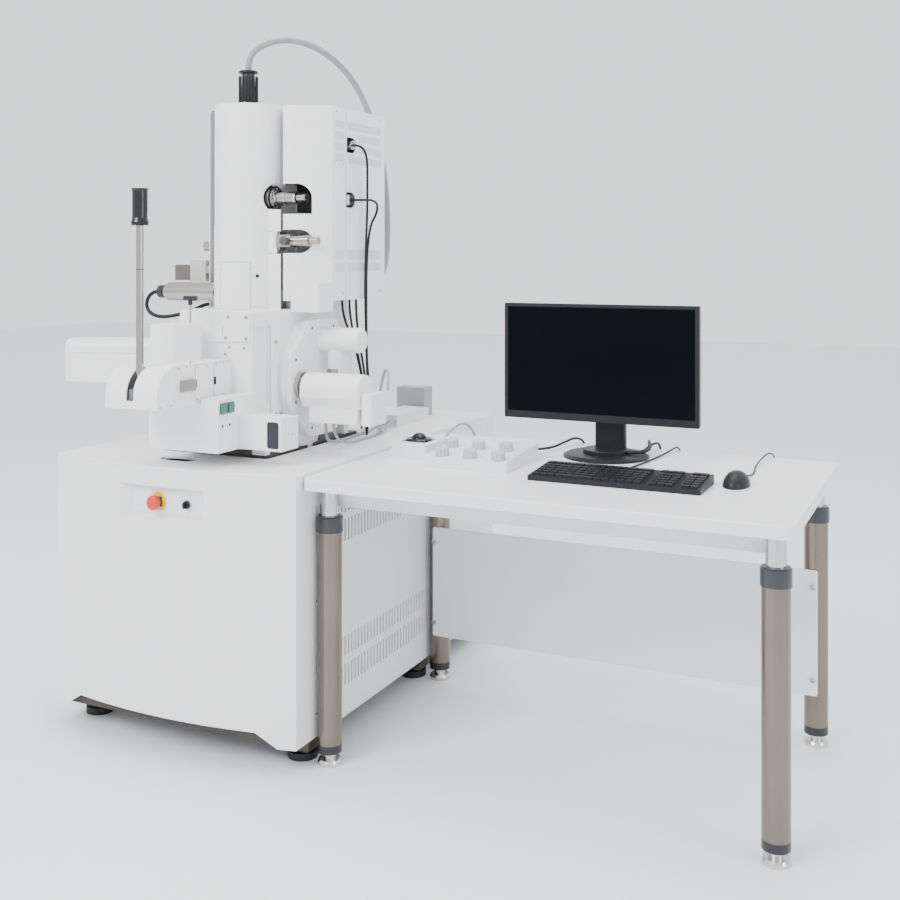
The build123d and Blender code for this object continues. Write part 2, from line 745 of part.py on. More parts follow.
def gate_release_handle():
    rod = disc_z(-497, -460, gate_top - 19, 1150, 2.5)
    neck = disc_z(-497, -460, 1134, 1146, 6)
    bar = soften(block(-516, -478, -466, -454, 1146, 1158), Axis.X, 4)
    return rod + neck + bar


# Control box and camera box

def button_seat(y):
    half = button_size / 2 + clear
    return block(control_right - 12, control_right + 1, y - half, y + half, button_z - half, button_z + half)


button_rows = (-514.0, -484.0)


def control_box():
    main = block(control_left, control_right, control_front, chamber_front, control_bottom, airlock_bottom)
    shoulder = block(airlock_right + 12, control_right, control_front, chamber_front, airlock_bottom, control_shoulder)
    box = main + shoulder
    return box - button_seat(button_rows[0]) - button_seat(button_rows[1])


def push_button(y):
    half = button_size / 2
    cap = block(control_right - 8, control_right + 6, y - half, y + half, button_z - half, button_z + half)
    return soften(cap, Axis.X, 4)


def camera_box():
    box = block(control_right, camera_right, camera_front, camera_back, camera_bottom, camera_top)
    window = soften(block(-265, -229, camera_front - 1, camera_front + 4, 774, 842), Axis.Y, 7)
    return box - window


def retractable_detector_housing():
    """A long cover that runs out to the left front, turned in plan."""
    run = housing_run + 170
    long_box = Pos(run / 2, long_housing_depth / 2, (long_housing_low + long_housing_high) / 2) * Box(
        run, long_housing_depth, long_housing_high - long_housing_low)
    top_front = long_box.edges().filter_by(Axis.X).group_by(Axis.Z)[-1].sort_by(Axis.Y)[0]
    long_box = fillet(top_front, 22)
    panel = block(12, housing_run - 30, -1, 2, long_housing_low + 10, long_housing_high - 38)
    long_box = long_box - panel
    placed = Pos(long_housing_tip[0], long_housing_tip[1], 0) * Rot(0, 0, housing_turn * 180 / pi) * long_box
    beyond = block(chamber_left, chamber_right, chamber_front, chamber_back + 100, 0, 2000)
    return placed - beyond


def preamplifier_boxes():
    white = block(-370, -275, 276, 496, console_top, console_top + 36)
    white = fillet(white.edges().filter_by(Axis.Z), 4)
    grey = block(-408, -305, 520, 580, console_top, 823)
    return [white, grey]


# Desk

def leg_spots():
    return [(x, y) for x in (leg_left, leg_right) for y in (leg_front, leg_back)]


def leg_tubes():
    """Four outer tubes, each with the clamp collar on its top."""
    legs = []
    for x, y in leg_spots():
        tube = disc_z(x, y, 52, collar_low, leg_r)
        collar = disc_z(x, y, collar_low, collar_high, leg_r + 3)
        collar = chamfer(collar.edges().group_by(Axis.Z)[-1], 4)
        legs.append(tube + collar - disc_z(x, y, 70, collar_high + 1, post_r + pin_play))
    return legs


def leg_feet():
    profile = [(0, 0), (foot_r, 0), (foot_r, 8), (foot_r - 3, 14), (15, 14), (15, 31), (leg_r, 31), (leg_r, 52), (0, 52)]
    return [Pos(x, y, 0) * turned(profile) for x, y in leg_spots()]


def leg_posts():
    return [disc_z(x, y, post_low, desk_under, post_r) for x, y in leg_spots()]


def desk_top():
    board = block(desk_left, desk_right, desk_front, desk_back, desk_under, desk_top_z)
    board = soften(board, Axis.Z, desk_corner_r)
    return fillet(board.edges().group_by(Axis.Z)[-1], 3)


rail_front_y = leg_front + post_r + 4
rail_back_y = leg_back - post_r - 4


def desk_frame():
    """Stepped steel rails under the board and a sheet cable tray behind them."""
    low = desk_under - rail_drop
    step = desk_under - rail_step
    left, right = leg_left + 40, leg_right - 40
    front = block(leg_left, leg_right, rail_front_y, rail_front_y + 30, step, desk_under)
    front = front + block(leg_left, leg_right, rail_front_y + 6, rail_front_y + 30, low, step)
    rear = block(leg_left, leg_right, rail_back_y - 30, rail_back_y, low, desk_under)
    sides = [block(x, x + 30, rail_front_y + 30, rail_back_y - 30, step, desk_under) for x in (left, right - 30)]
    tray_front, tray_back = rail_back_y, leg_back + 46
    floor = block(left, right, tray_front, tray_back, low, low + 2)
    lip = block(left, right, tray_back - 2, tray_back, low, low + 24)
    return front + rear + sides[0] + sides[1] + floor + lip


def modesty_panel():
    back = leg_back - leg_r - clear
    plate = block(leg_left - 7, leg_right + 8, back - sheet, back, modesty_low, modesty_high)
    plate = soften(plate, Axis.Y, modesty_corner_r)
    for x in (leg_left, leg_right):
        for z in (modesty_low + 42, modesty_high - 42):
            plate = plate + disc_y(x, back - sheet - 4, back - sheet, z, 8)
    return plate


# Desk equipment

slope = atan2(panel_back_height - panel_front_height, panel_depth)
knob_spots = [(98.0 + knob_pitch * column, -120.0) for column in range(3)]
knob_spots += [(115.0 + knob_pitch * column, -214.0) for column in range(3)]


def panel_height(y):
    return desk_top_z + panel_front_height + (y - panel_front) * tan(slope)


def on_slope(x, y, solid):
    return Pos(x, y, panel_height(y)) * Rot(slope * 180 / pi, 0, 0) * solid


def knob_panel():
    """A low desk panel that rises toward the back, with six shaft bores."""
    side = Polyline((panel_front, desk_top_z), (panel_front + panel_depth, desk_top_z),
                    (panel_front + panel_depth, desk_top_z + panel_back_height),
                    (panel_front, desk_top_z + panel_front_height), close=True)
    body = side_prism(make_face(side), panel_left, panel_left + panel_width)
    for x, y in knob_spots:
        body = body - on_slope(x, y, Pos(0, 0, -6) * Cylinder(3 + pin_play, 14))
    return body


def control_knob(x, y):
    """A fluted knob on its shaft, square to the sloping panel."""
    cap = Pos(0, 0, clear + knob_height / 2) * Cylinder(knob_r, knob_height)
    cap = fillet(cap.edges().group_by(Axis.Z)[-1], 3)
    for step in range(10):
        flute = Rot(0, 0, 36 * step) * Pos(knob_r + 1.5, 0, knob_height / 2) * Cylinder(4, knob_height + 2)
        cap = cap - flute
    shaft = Pos(0, 0, -5 + clear) * Cylinder(3, 10)
    return on_slope(x, y, cap + shaft)


ball_z = desk_top_z + ball_box_height - 4


def trackball_housing():
    top = desk_top_z + ball_box_height
    body = block(ball_box_left, ball_box_left + ball_box_width, ball_box_front, ball_box_front + ball_box_depth, desk_top_z, top)
    body = soften(body, Axis.Z, 3)
    socket = Pos(ball_x, ball_y, ball_z) * Sphere(ball_r + clear)
    ring = chamfer(disc_z(ball_x, ball_y, top, top + 6, 35).edges().group_by(Axis.Z)[-1], 3)
    return [body - socket, ring - socket]


def trackball():
    return Pos(ball_x, ball_y, ball_z) * Sphere(ball_r)


key_pitch = 19.0
key_rows = [(0, 18, 1), (1, 18, 1), (2, 18, 1), (3, 18, 1), (4, 18, 1), (5.3, 18, 1)]


def keyboard():
    """A low wedge with its keys in five rows, a function row and a number block."""
    y0, y1 = keys_y, keys_y + keys_depth
    side = Polyline((y0, desk_top_z), (y1, desk_top_z), (y1, desk_top_z + 22), (y0, desk_top_z + 12), close=True)
    body = side_prism(make_face(side), keys_x, keys_x + keys_width)
    tilt = atan2(10, keys_depth)
    pitch_x = (keys_width - 16) / 21
    pitch_y = (keys_depth - 16) / 6.3
    for row in range(6):
        y = y0 + 8 + (row + (0.3 if row == 5 else 0)) * pitch_y
        z = desk_top_z + 12 + (y + pitch_y / 2 - y0) * tan(tilt)
        for column in range(21):
            if column in (14, 18) or (row == 0 and column in (3, 4, 5, 6, 7)):
                continue
            x = keys_x + 8 + column * pitch_x
            body = body + block(x + 1, x + pitch_x - 1, y + 1, y + pitch_y - 1, z - 4, z + 5)
        if row == 0:
            body = body + block(keys_x + 9 + 3 * pitch_x, keys_x + 7 + 8 * pitch_x, y + 1, y + pitch_y - 1, z - 4, z + 5)
    return body


def mouse():
    """A low domed shell, wider at the palm."""
    dome = Pos(848, -140, desk_top_z) * scale(Sphere(1), by=(31, 54, 36))
    above = block(800, 900, -220, -60, desk_top_z, desk_top_z + 60)
    return dome & above


def monitor_base():
    profile = [(0, 0), (stand_r, 0), (stand_r, 5), (stand_r - 10, 10), (60, 12), (0, 12)]
    return Pos(stand_x, stand_y, desk_top_z) * turned(profile)


column_face = 130.0
post_width = 84.0
post_depth = 30.0
post_top = 1050.0
column_low = desk_top_z + 12


def monitor_column():
    post = block(stand_x - post_width / 2, stand_x + post_width / 2, column_face, column_face + post_depth,
                 column_low, post_top)
    post = soften(post, Axis.Z, 8)
    foot = disc_z(stand_x, stand_y, column_low, column_low + 10, 62)
    foot = fillet(foot.edges().group_by(Axis.Z)[-1], 2)
    return post + foot


def monitor_carriage():
    """The lifting plate with two ears that carry the tilt pin."""
    plate = block(stand_x - 40, stand_x + 40, column_face - 6, column_face - clear, tilt_z - 40, tilt_z + 40)
    ears = [block(x, x + 6, tilt_y - 9, column_face - 6, tilt_z - 9, tilt_z + 9) for x in (stand_x - 36, stand_x + 30)]
    ears = ears[0] + ears[1] - disc_x(stand_x - 60, stand_x + 60, tilt_y, tilt_z, 4 + pin_play)
    return plate + ears


def monitor_head():
    """The display with its raised back and the tilt knuckle."""
    left, right = screen_x - screen_width / 2, screen_x + screen_width / 2
    back = screen_face + screen_thick
    panel = block(left, right, screen_face, back, screen_low, screen_high)
    panel = soften(panel, Axis.Y, 3)
    hump = block(stand_x - 150, stand_x + 150, back, back + 4, tilt_z - 90, tilt_z + 90)
    hump = chamfer(hump.faces().sort_by(Axis.Y)[-1].edges(), 3)
    knuckle = block(stand_x - 29, stand_x + 29, back + 3, tilt_y, tilt_z - 8, tilt_z + 8)
    knuckle = knuckle + disc_x(stand_x - 29, stand_x + 29, tilt_y, tilt_z, 8)
    pin = disc_x(stand_x - 36, stand_x + 36, tilt_y, tilt_z, 4)
    bezel = block(left + 10, right - 10, screen_face - 1, screen_face + 1, screen_low + 20, screen_high - 8)
    return panel + hump + knuckle + pin - bezel


# Cords

high_voltage_route = [
    (column_x, column_y, gun_boot_top + 0.2), (column_x, column_y, gun_boot_top + 42),
    (-492, -135, 1871), (-440, -92, 1888), (-394, -32, 1877), (-362, 40, 1844), (-338, 112, 1790),
    (-322, 180, 1700), (-306, 222, 1590), (-297, 242, 1470), (-297, 252, 1350), (-302, 254, 1262),
    (-308, 238, 1206), (-312, 208, 1184), (-312, box_back + 0.2, 1184),
]
detector_route = [
    (-819.2, -190, 1158), (-842, -190, 1158), (-864, -194, 1140), (-866, -198, 1110), (-844, -200, 1090),
    (-808, -198, 1082), (-764, -190, 1088), (-722, -176, 1100), (-706, -152, 1112), (-690, -140, 1121),
    (rear_cover_left - 0.3, -140, 1121),
]
loom_black_routes = [
    [(-256.8, -30, 1579), (-240, -30, 1579), (-230, -14, 1568), (-232, 8, 1540), (-240, 22, 1480), (-243, 27, 1390),
     (-246, 24, 1290), (-250, 26, 1170), (-252, 34, 1050), (-254, 46, 930), (-266, 68, 830), (-282, 92, 776),
     (-286, 100, 752), (-286, 100, console_top + 0.2)],
    [(-258.8, -34, 1422), (-240, -34, 1422), (-228, -12, 1423), (-226, 30, 1424), (-230, 66, 1414), (-238, 74, 1386),
     (-250, 54, 1350), (-254, 42, 1250), (-257, 46, 1130), (-262, 56, 1020), (-268, 72, 910), (-284, 108, 820),
     (-302, 132, 774), (-306, 140, 752), (-306, 140, console_top + 0.2)],
    [(-300, 60, box_bottom - 0.2), (-300, 60, 1090), (-294, 70, 1005), (-288, 92, 910), (-296, 120, 826),
     (-316, 150, 774), (-320, 156, 752), (-320, 156, console_top + 0.2)],
    [(-330, 30, box_bottom - 0.2), (-330, 30, 1090), (-308, 62, 1010), (-300, 100, 890), (-306, 140, 800),
     (-330, 178, 772), (-334, 184, 750), (-334, 184, console_top + 0.2)],
    [(-300, 120, box_bottom - 0.2), (-300, 120, 1090), (-306, 130, 980), (-304, 144, 890), (-314, 170, 800),
     (-340, 202, 770), (-346, 210, 750), (-346, 210, console_top + 0.2)],
    [(-338, 86, box_bottom - 0.2), (-338, 86, 1090), (-322, 104, 980), (-314, 130, 880), (-324, 164, 796),
     (-358, 200, 770), (-364, 206, 750), (-364, 206, console_top + 0.2)],
]
loom_grey_routes = [
    [(-236, -213, 814.8), (-236, -213, 796), (-248, -190, 768), (-272, -140, 746), (-288, -70, 735), (-296, 10, 733),
     (-300, 90, 733), (-302, 170, 736), (-304, 236, 744), (-304, 275.8, 744)],
    [(-206, -222, 814.8), (-206, -222, 798), (-214, -196, 772), (-232, -140, 746), (-246, -70, 735), (-250, 10, 733),
     (-252, 90, 733), (-264, 170, 736), (-284, 236, 746), (-284, 275.8, 746)],
    [(-95, -120, 896.2), (-95, -120, 918), (-106, -100, 946), (-134, -66, 944), (-164, -30, 906), (-192, 4, 850),
     (-214, 36, 796), (-232, 76, 756), (-250, 130, 738), (-282, 190, 740), (-328, 240, 748), (-328, 275.8, 748)],
]
trackball_route = [
    (0, 10.2, 746), (0, 36, 746), (-2, 88, 764), (-6, 146, 772), (-12, 204, 768), (-18, 260, 746),
    (-20, 296, 718), (-20, 304, 690), (-18, 290, 672), (-14, 262, 666), (-6, 238, 658), (10, 220, 643),
    (36, 214, 640),
]
panel_route = [
    (262, -13.8, 740), (262, 16, 740), (274, 68, 732), (292, 128, 729), (306, 188, 736), (318, 244, 742),
    (326, 290, 728), (328, 306, 702), (328, 296, 678), (330, 268, 668), (336, 242, 658), (352, 222, 643),
    (380, 214, 640),
]
keyboard_route = [
    (560, -139.8, 732), (560, -112, 731), (562, -60, 723.2), (570, 0, 723.2), (579, 60, 723.2), (584, 120, 723.2),
    (592, 176, 724), (602, 232, 730), (606, 274, 732), (608, 302, 714), (606, 304, 688), (606, 286, 670),
    (608, 258, 664), (616, 236, 654), (634, 220, 640), (664, 214, 638.5),
]
mouse_route = [
    (850, -88.6, 732), (850, -66, 732), (860, -20, 723), (858, 40, 723), (848, 100, 723), (848, 160, 728), (854, 216, 736),
    (862, 262, 736), (866, 298, 718), (864, 304, 692), (860, 288, 672), (852, 260, 664), (836, 238, 654),
    (812, 222, 640), (780, 216, 638),
]
monitor_routes = [
    [(stand_x + 61.7, stand_y - 8.7, 737), (526, 90.9, 737), (546, 95, 738), (564, 118, 740), (563, 156, 746),
     (550, 196, 750), (535, 234, 750), (524, 276, 738), (518, 304, 714), (516, 304, 688),
     (514, 284, 670), (508, 256, 664), (492, 234, 654), (468, 220, 642), (436, 214, 640)],
    [(stand_x + 61.7, stand_y + 8.7, 737), (526, 111.1, 737), (540, 120, 737), (547, 146, 736), (543, 180, 736),
     (546, 214, 740), (550, 250, 741), (552, 286, 734), (550, 306, 712), (550, 304, 686), (552, 284, 670),
     (556, 256, 664), (546, 234, 654), (522, 220, 642), (490, 212, 640)],
]


# Build every node

keep("front_panel", front_panel())
keep("switch_plate", switch_plate())
keep("emergency_stop_button", emergency_stop_button())
keep("operation_selector", operation_selector())
keep("right_side_panel", right_side_panel())
keep("left_and_rear_panel", left_and_rear_panel())
keep("top_plate", top_plate())
keep("base_frame", base_frame())
keep("levelling_feet", *levelling_feet())
keep("isolation_base", isolation_base())
keep("chamber", *chamber())
keep("lens_plate", lens_plate())
keep("stage_plate", *stage_plate())
keep("stage_drive_covers", *stage_drive_covers())
keep("electron_column", *electron_column())
keep("aperture_knob", aperture_knob())
keep("valve_knob", valve_knob())
keep("column_front_cover", column_front_cover())
keep("column_rear_cover", column_rear_cover())
keep("electronics_box", *electronics_box())
keep("side_detectors", *side_detectors())
keep("airlock_housing", airlock_housing())
keep("airlock_cover", airlock_cover())
keep("exchange_lever", *exchange_lever())
keep("airlock_clasp", airlock_clasp())
keep("gate_release_handle", gate_release_handle())
keep("control_box", control_box())
keep("evacuate_button", push_button(button_rows[0]))
keep("vent_button", push_button(button_rows[1]))
keep("camera_box", camera_box())
keep("retractable_detector_housing", retractable_detector_housing())
keep("preamplifier_boxes", *preamplifier_boxes())
keep("leg_tubes", *leg_tubes())
keep("leg_feet", *leg_feet())
keep("leg_posts", *leg_posts())
keep("desk_top", desk_top())
keep("desk_frame", desk_frame())
keep("modesty_panel", modesty_panel())
keep("knob_panel", knob_panel())
for number, (knob_x, knob_y) in enumerate(knob_spots, start=1):
    keep(f"control_knob_{number}", control_knob(knob_x, knob_y))
keep("trackball_housing", *trackball_housing())
keep("trackball", trackball())
keep("keyboard", keyboard())
keep("mouse", mouse())
keep("monitor_base", monitor_base())
keep("monitor_column", monitor_column())
keep("monitor_carriage", monitor_carriage())
keep("monitor_head", monitor_head())
keep("high_voltage_cable", cord("high_voltage_cable", high_voltage_route, 18))
black_loom = [cord("loom_black", route, 7) for route in loom_black_routes]
grey_loom = [cord("loom_grey", route, 8) for route in loom_grey_routes]
keep("cable_loom", cord("detector_cable", detector_route, 11), *black_loom, *grey_loom)
keep("trackball_cord", cord("trackball_cord", trackball_route, 7))
keep("panel_cord", cord("panel_cord", panel_route, 7))
keep("keyboard_cord", cord("keyboard_cord", keyboard_route, 5))
keep("mouse_cord", cord("mouse_cord", mouse_route, 4))
keep("monitor_cords", *[cord("monitor_cord", route, 7) for route in monitor_routes])

os.makedirs("parts", exist_ok=True)
for node_name, node_shape in nodes.items():
    export_step(node_shape, f"parts/{node_name}.step")
print(len(nodes), "nodes")
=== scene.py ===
import math

import bmesh
import bpy
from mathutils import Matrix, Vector


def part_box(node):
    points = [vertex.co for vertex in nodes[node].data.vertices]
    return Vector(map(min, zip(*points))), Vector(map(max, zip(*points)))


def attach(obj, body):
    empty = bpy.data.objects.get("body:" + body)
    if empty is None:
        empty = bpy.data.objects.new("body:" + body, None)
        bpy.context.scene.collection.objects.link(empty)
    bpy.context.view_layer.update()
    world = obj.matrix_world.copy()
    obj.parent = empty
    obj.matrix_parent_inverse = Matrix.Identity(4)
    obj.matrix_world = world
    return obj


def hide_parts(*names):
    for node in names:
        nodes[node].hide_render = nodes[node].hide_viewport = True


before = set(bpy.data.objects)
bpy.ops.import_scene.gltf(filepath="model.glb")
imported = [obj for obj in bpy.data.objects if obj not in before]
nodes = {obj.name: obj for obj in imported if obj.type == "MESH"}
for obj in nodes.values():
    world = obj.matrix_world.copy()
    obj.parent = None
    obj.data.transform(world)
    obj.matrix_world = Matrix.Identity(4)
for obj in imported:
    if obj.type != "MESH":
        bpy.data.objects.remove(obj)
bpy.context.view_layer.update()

# Layout coordinates are millimetres, with X measured from the desk's left edge at -129.7.
MM = 0.001
DESK_LEFT = -129.7
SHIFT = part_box("desk_top")[0][0] / MM - DESK_LEFT


def at(x, y, z):
    """A point of the layout in the frame's metres."""
    return Vector(((x + SHIFT) * MM, y * MM, z * MM))


# Named places shared by several pieces
COLUMN = (-533.0, -152.0)
COVER_R = 95.0
SLAB_TOP = 1113.0
COVER_TOP = 1690.0
DESK_TOP = 720.0
CONSOLE_TOP = 728.0
CONSOLE_RIGHT = -130.0
AIRLOCK_RIGHT = -417.0
CHAMBER_FRONT = -389.0
CHAMBER_RIGHT = -353.0
STAGE_FACE = -315.0
STAGE = (-99.0, 922.0)
BOX_RIGHT = -265.0
BALL = (-22.0, -76.0)


# Materials

def node(tree, kind, **values):
    """Add a shader node and set its plain properties."""
    made = tree.nodes.new(kind)
    for key, value in values.items():
        setattr(made, key, value)
    return made


def math_node(tree, operation, a, b):
    """A maths node on two values, each a socket or a plain number."""
    made = node(tree, "ShaderNodeMath", operation=operation)
    for socket, value in zip(made.inputs, (a, b)):
        if hasattr(value, "is_output"):
            tree.links.new(value, socket)
        else:
            socket.default_value = value
    return made.outputs[0]


def remap(tree, value, low, high):
    """Stretch the middle of a noise to run from low to high."""
    made = node(tree, "ShaderNodeMapRange")
    tree.links.new(value, made.inputs["Value"])
    made.inputs["From Min"].default_value = 0.3
    made.inputs["From Max"].default_value = 0.7
    made.inputs["To Min"].default_value = low
    made.inputs["To Max"].default_value = high
    return made.outputs[0]


def noise(tree, place, scale, detail, stretch=None):
    """A noise over the object's own space, stretched along an axis where asked."""
    if stretch:
        mapping = node(tree, "ShaderNodeMapping")
        mapping.inputs["Scale"].default_value = stretch
        tree.links.new(place, mapping.inputs["Vector"])
        place = mapping.outputs[0]
    made = node(tree, "ShaderNodeTexNoise")
    made.inputs["Scale"].default_value = scale
    made.inputs["Detail"].default_value = detail
    tree.links.new(place, made.inputs["Vector"])
    return made.outputs["Fac"]


def inside(tree, place, low, high):
    """One inside a box of the object's own space, and nought outside it."""
    middle = (low + high) / 2
    half = (high - low) / 2
    moved = node(tree, "ShaderNodeVectorMath", operation="SUBTRACT")
    tree.links.new(place, moved.inputs[0])
    moved.inputs[1].default_value = middle
    sized = node(tree, "ShaderNodeVectorMath", operation="DIVIDE")
    tree.links.new(moved.outputs[0], sized.inputs[0])
    sized.inputs[1].default_value = half
    positive = node(tree, "ShaderNodeVectorMath", operation="ABSOLUTE")
    tree.links.new(sized.outputs[0], positive.inputs[0])
    parts = node(tree, "ShaderNodeSeparateXYZ")
    tree.links.new(positive.outputs[0], parts.inputs[0])
    widest = math_node(tree, "MAXIMUM", parts.outputs[0], parts.outputs[1])
    widest = math_node(tree, "MAXIMUM", widest, parts.outputs[2])
    return math_node(tree, "LESS_THAN", widest, 1.0)


CLOUD_SCALE = 9.0
GRAIN_HEIGHT = 0.0004


def material(name, colour, rough, metallic=0.0, grain=900.0, depth=0.06, mottle=0.02, spread=0.05,
             stretch=None, coat=0.0, edge=0.0, specular=0.5, zones=()):
    """A finish with fine grain, slight mottling, rounded edges and zones of other colours."""
    made = bpy.data.materials.new(name)
    made.use_nodes = True
    tree = made.node_tree
    surface = tree.nodes["Principled BSDF"]
    place = node(tree, "ShaderNodeTexCoord").outputs["Object"]
    cloud = noise(tree, place, CLOUD_SCALE, 3.0)
    fine = noise(tree, place, grain, 2.0, stretch)
    tint = remap(tree, cloud, 1.0 - mottle, 1.0 + mottle)
    base = node(tree, "ShaderNodeVectorMath", operation="SCALE")
    base.inputs[0].default_value = colour
    tree.links.new(tint, base.inputs["Scale"])
    colour_out = base.outputs[0]
    rough_out = remap(tree, fine, rough - spread, rough + spread)
    metal_out = None
    for low, high, zone_colour, zone_rough, zone_metal in zones:
        mask = inside(tree, place, low, high)
        mix = node(tree, "ShaderNodeMix", data_type="RGBA")
        tree.links.new(mask, mix.inputs[0])
        tree.links.new(colour_out, mix.inputs[6])
        mix.inputs[7].default_value = (*zone_colour, 1.0)
        colour_out = mix.outputs[2]
        mix = node(tree, "ShaderNodeMix", data_type="FLOAT")
        tree.links.new(mask, mix.inputs[0])
        tree.links.new(rough_out, mix.inputs[2])
        mix.inputs[3].default_value = zone_rough
        rough_out = mix.outputs[0]
        mix = node(tree, "ShaderNodeMix", data_type="FLOAT")
        tree.links.new(mask, mix.inputs[0])
        if metal_out is None:
            mix.inputs[2].default_value = metallic
        else:
            tree.links.new(metal_out, mix.inputs[2])
        mix.inputs[3].default_value = zone_metal
        metal_out = mix.outputs[0]
    tree.links.new(colour_out, surface.inputs["Base Color"])
    tree.links.new(rough_out, surface.inputs["Roughness"])
    if metal_out is None:
        surface.inputs["Metallic"].default_value = metallic
    else:
        tree.links.new(metal_out, surface.inputs["Metallic"])
    surface.inputs["Coat Weight"].default_value = coat
    surface.inputs["Specular IOR Level"].default_value = specular
    relief = node(tree, "ShaderNodeBump")
    relief.inputs["Strength"].default_value = depth
    relief.inputs["Distance"].default_value = GRAIN_HEIGHT
    tree.links.new(fine, relief.inputs["Height"])
    if edge:
        rounded = node(tree, "ShaderNodeBevel", samples=4)
        rounded.inputs["Radius"].default_value = edge
        tree.links.new(rounded.outputs[0], relief.inputs["Normal"])
    tree.links.new(relief.outputs[0], surface.inputs["Normal"])
    return made


WHITE_COLOUR = (0.84, 0.84, 0.85)
BLACK_COLOUR = (0.012, 0.012, 0.014)
STEEL_COLOUR = (0.42, 0.40, 0.37)
GREY_COLOUR = (0.30, 0.31, 0.33)

white = material("white_powder_coat", WHITE_COLOUR, 0.42, grain=1500.0, depth=0.10, mottle=0.012,
                 edge=0.0014)
shade_white = material("console_powder_coat", (0.78, 0.78, 0.79), 0.45, grain=1300.0, depth=0.12,
                       mottle=0.012, edge=0.0014)
laminate = material("desk_laminate", (0.80, 0.80, 0.82), 0.36, grain=700.0, depth=0.05,
                    mottle=0.008, edge=0.001)
white_plastic = material("white_moulded_plastic", (0.76, 0.77, 0.79), 0.38, grain=2200.0,
                         depth=0.06, edge=0.0012)
knob_plastic = material("pale_knob_plastic", (0.48, 0.49, 0.52), 0.42, grain=2200.0, depth=0.06,
                        edge=0.0008)
steel = material("turned_steel", STEEL_COLOUR, 0.24, 1.0, grain=260.0, depth=0.05, mottle=0.05,
                 stretch=(14.0, 1.0, 1.0), edge=0.0006)
steel_dark = material("dark_steel", (0.14, 0.135, 0.125), 0.36, 1.0, grain=400.0, depth=0.06,
                      mottle=0.08, edge=0.0006)
chrome = material("polished_chrome", (0.52, 0.52, 0.52), 0.12, 1.0, grain=300.0, depth=0.01,
                  mottle=0.02, spread=0.03)
black = material("black_moulded_plastic", BLACK_COLOUR, 0.42, grain=2600.0, depth=0.12, spread=0.06,
                 edge=0.0006, specular=0.25)
gloss_black = material("gloss_black", (0.006, 0.006, 0.007), 0.12, grain=500.0, depth=0.01,
                       spread=0.03, coat=0.1, specular=0.3)
rubber = material("black_cable_sheath", (0.010, 0.010, 0.011), 0.46, grain=1200.0, depth=0.10,
                  specular=0.25)
grey_sheath = material("grey_cable_sheath", GREY_COLOUR, 0.48, grain=900.0, depth=0.08)
pale_sheath = material("pale_cable_sheath", (0.24, 0.245, 0.26), 0.42, grain=900.0, depth=0.06)
red = material("red_plastic", (0.62, 0.006, 0.005), 0.28, grain=900.0, depth=0.03, coat=0.3,
               edge=0.0006)
green = material("green_translucent_plastic", (0.004, 0.15, 0.085), 0.30, grain=900.0, depth=0.03,
                 coat=0.3, edge=0.0006)
dark_paint = material("dark_bronze_paint", (0.055, 0.048, 0.042), 0.50, 0.3, grain=900.0,
                      depth=0.16, mottle=0.12, edge=0.001)
shadow_gap = material("dark_gap", (0.10, 0.10, 0.105), 0.7, grain=900.0, depth=0.05)
# Mid grey painted shade standing in for the dark inside of the vent slots
vent_slot_shade = material("painted_vent_slot_shade", (0.56, 0.57, 0.58), 0.6, grain=900.0, depth=0.05)
grey_paint = material("grey_anodised", (0.34, 0.34, 0.34), 0.42, 0.6, grain=700.0, depth=0.08,
                      edge=0.001)
screen_glass = material("screen_glass", (0.0010, 0.0026, 0.0036), 0.10, grain=300.0, depth=0.002,
                        spread=0.02, specular=0.05)


def zone(x0, x1, y0, y1, z0, z1, colour, rough, metallic):
    """A box of the layout with its own colour, roughness and metal share."""
    return (at(x0, y0, z0), at(x1, y1, z1), colour, rough, metallic)


BLACK_ZONE = (BLACK_COLOUR, 0.36, 0.0)
STEEL_ZONE = (STEEL_COLOUR, 0.24, 1.0)
# Near-black painted shade for the inside of the electronics box and the cut faces round its front openings
OPENING_SHADE_ZONE = (1140.5, 1678.5, (0.02, 0.02, 0.022), 0.6, 0.0)
column_finish = material("column_steel_and_boot", STEEL_COLOUR, 0.26, 1.0, grain=260.0, mottle=0.06,
                         edge=0.0006,
                         zones=[zone(-600, -460, -220, -80, COVER_TOP - 1, 1900, *BLACK_ZONE),
                                zone(-620, -440, -240, -60, SLAB_TOP - 1, COVER_TOP - 29,
                                     (0.05, 0.05, 0.055), 0.5, 0.6)])
detector_finish = material("detector_steel_and_boot", STEEL_COLOUR, 0.22, 1.0, grain=260.0, mottle=0.05,
                           edge=0.0006, stretch=(1.0, 14.0, 14.0),
                           zones=[zone(-830, -794.5, -215, -165, 1130, 1186, *BLACK_ZONE),
                                  zone(-757, -699.5, -133, -67, 1185, 1251, (0.50, 0.50, 0.48), 0.45, 0.3),
                                  zone(-820, -756.5, -125, -75, 1186, 1240, (0.16, 0.15, 0.14), 0.4, 0.8)])
lever_finish = material("chrome_rod_and_grip", (0.40, 0.39, 0.37), 0.16, 1.0, grain=260.0, mottle=0.03,
                        stretch=(9.0, 9.0, 1.0),
                        zones=[zone(-560, -440, -700, -600, 1336.5, 1440, (0.005, 0.006, 0.008), 0.10, 0.0),
                               zone(-560, -440, -700, -600, 1228, 1230, (0.02, 0.02, 0.02), 0.5, 0.0)])
switch_finish = material("switch_plate_and_ring", (0.74, 0.75, 0.77), 0.40, grain=1800.0, edge=0.0008,
                         zones=[zone(-553.5, -502.5, -560, -548, 611, 661, (0.76, 0.50, 0.01), 0.32, 0.0),
                                zone(-541, -515, -566, -550, 623, 649, (0.05, 0.05, 0.05), 0.4, 0.0),
                                zone(-449, -425, -560, -548.2, 624, 648, (0.10, 0.10, 0.10), 0.4, 0.0)])
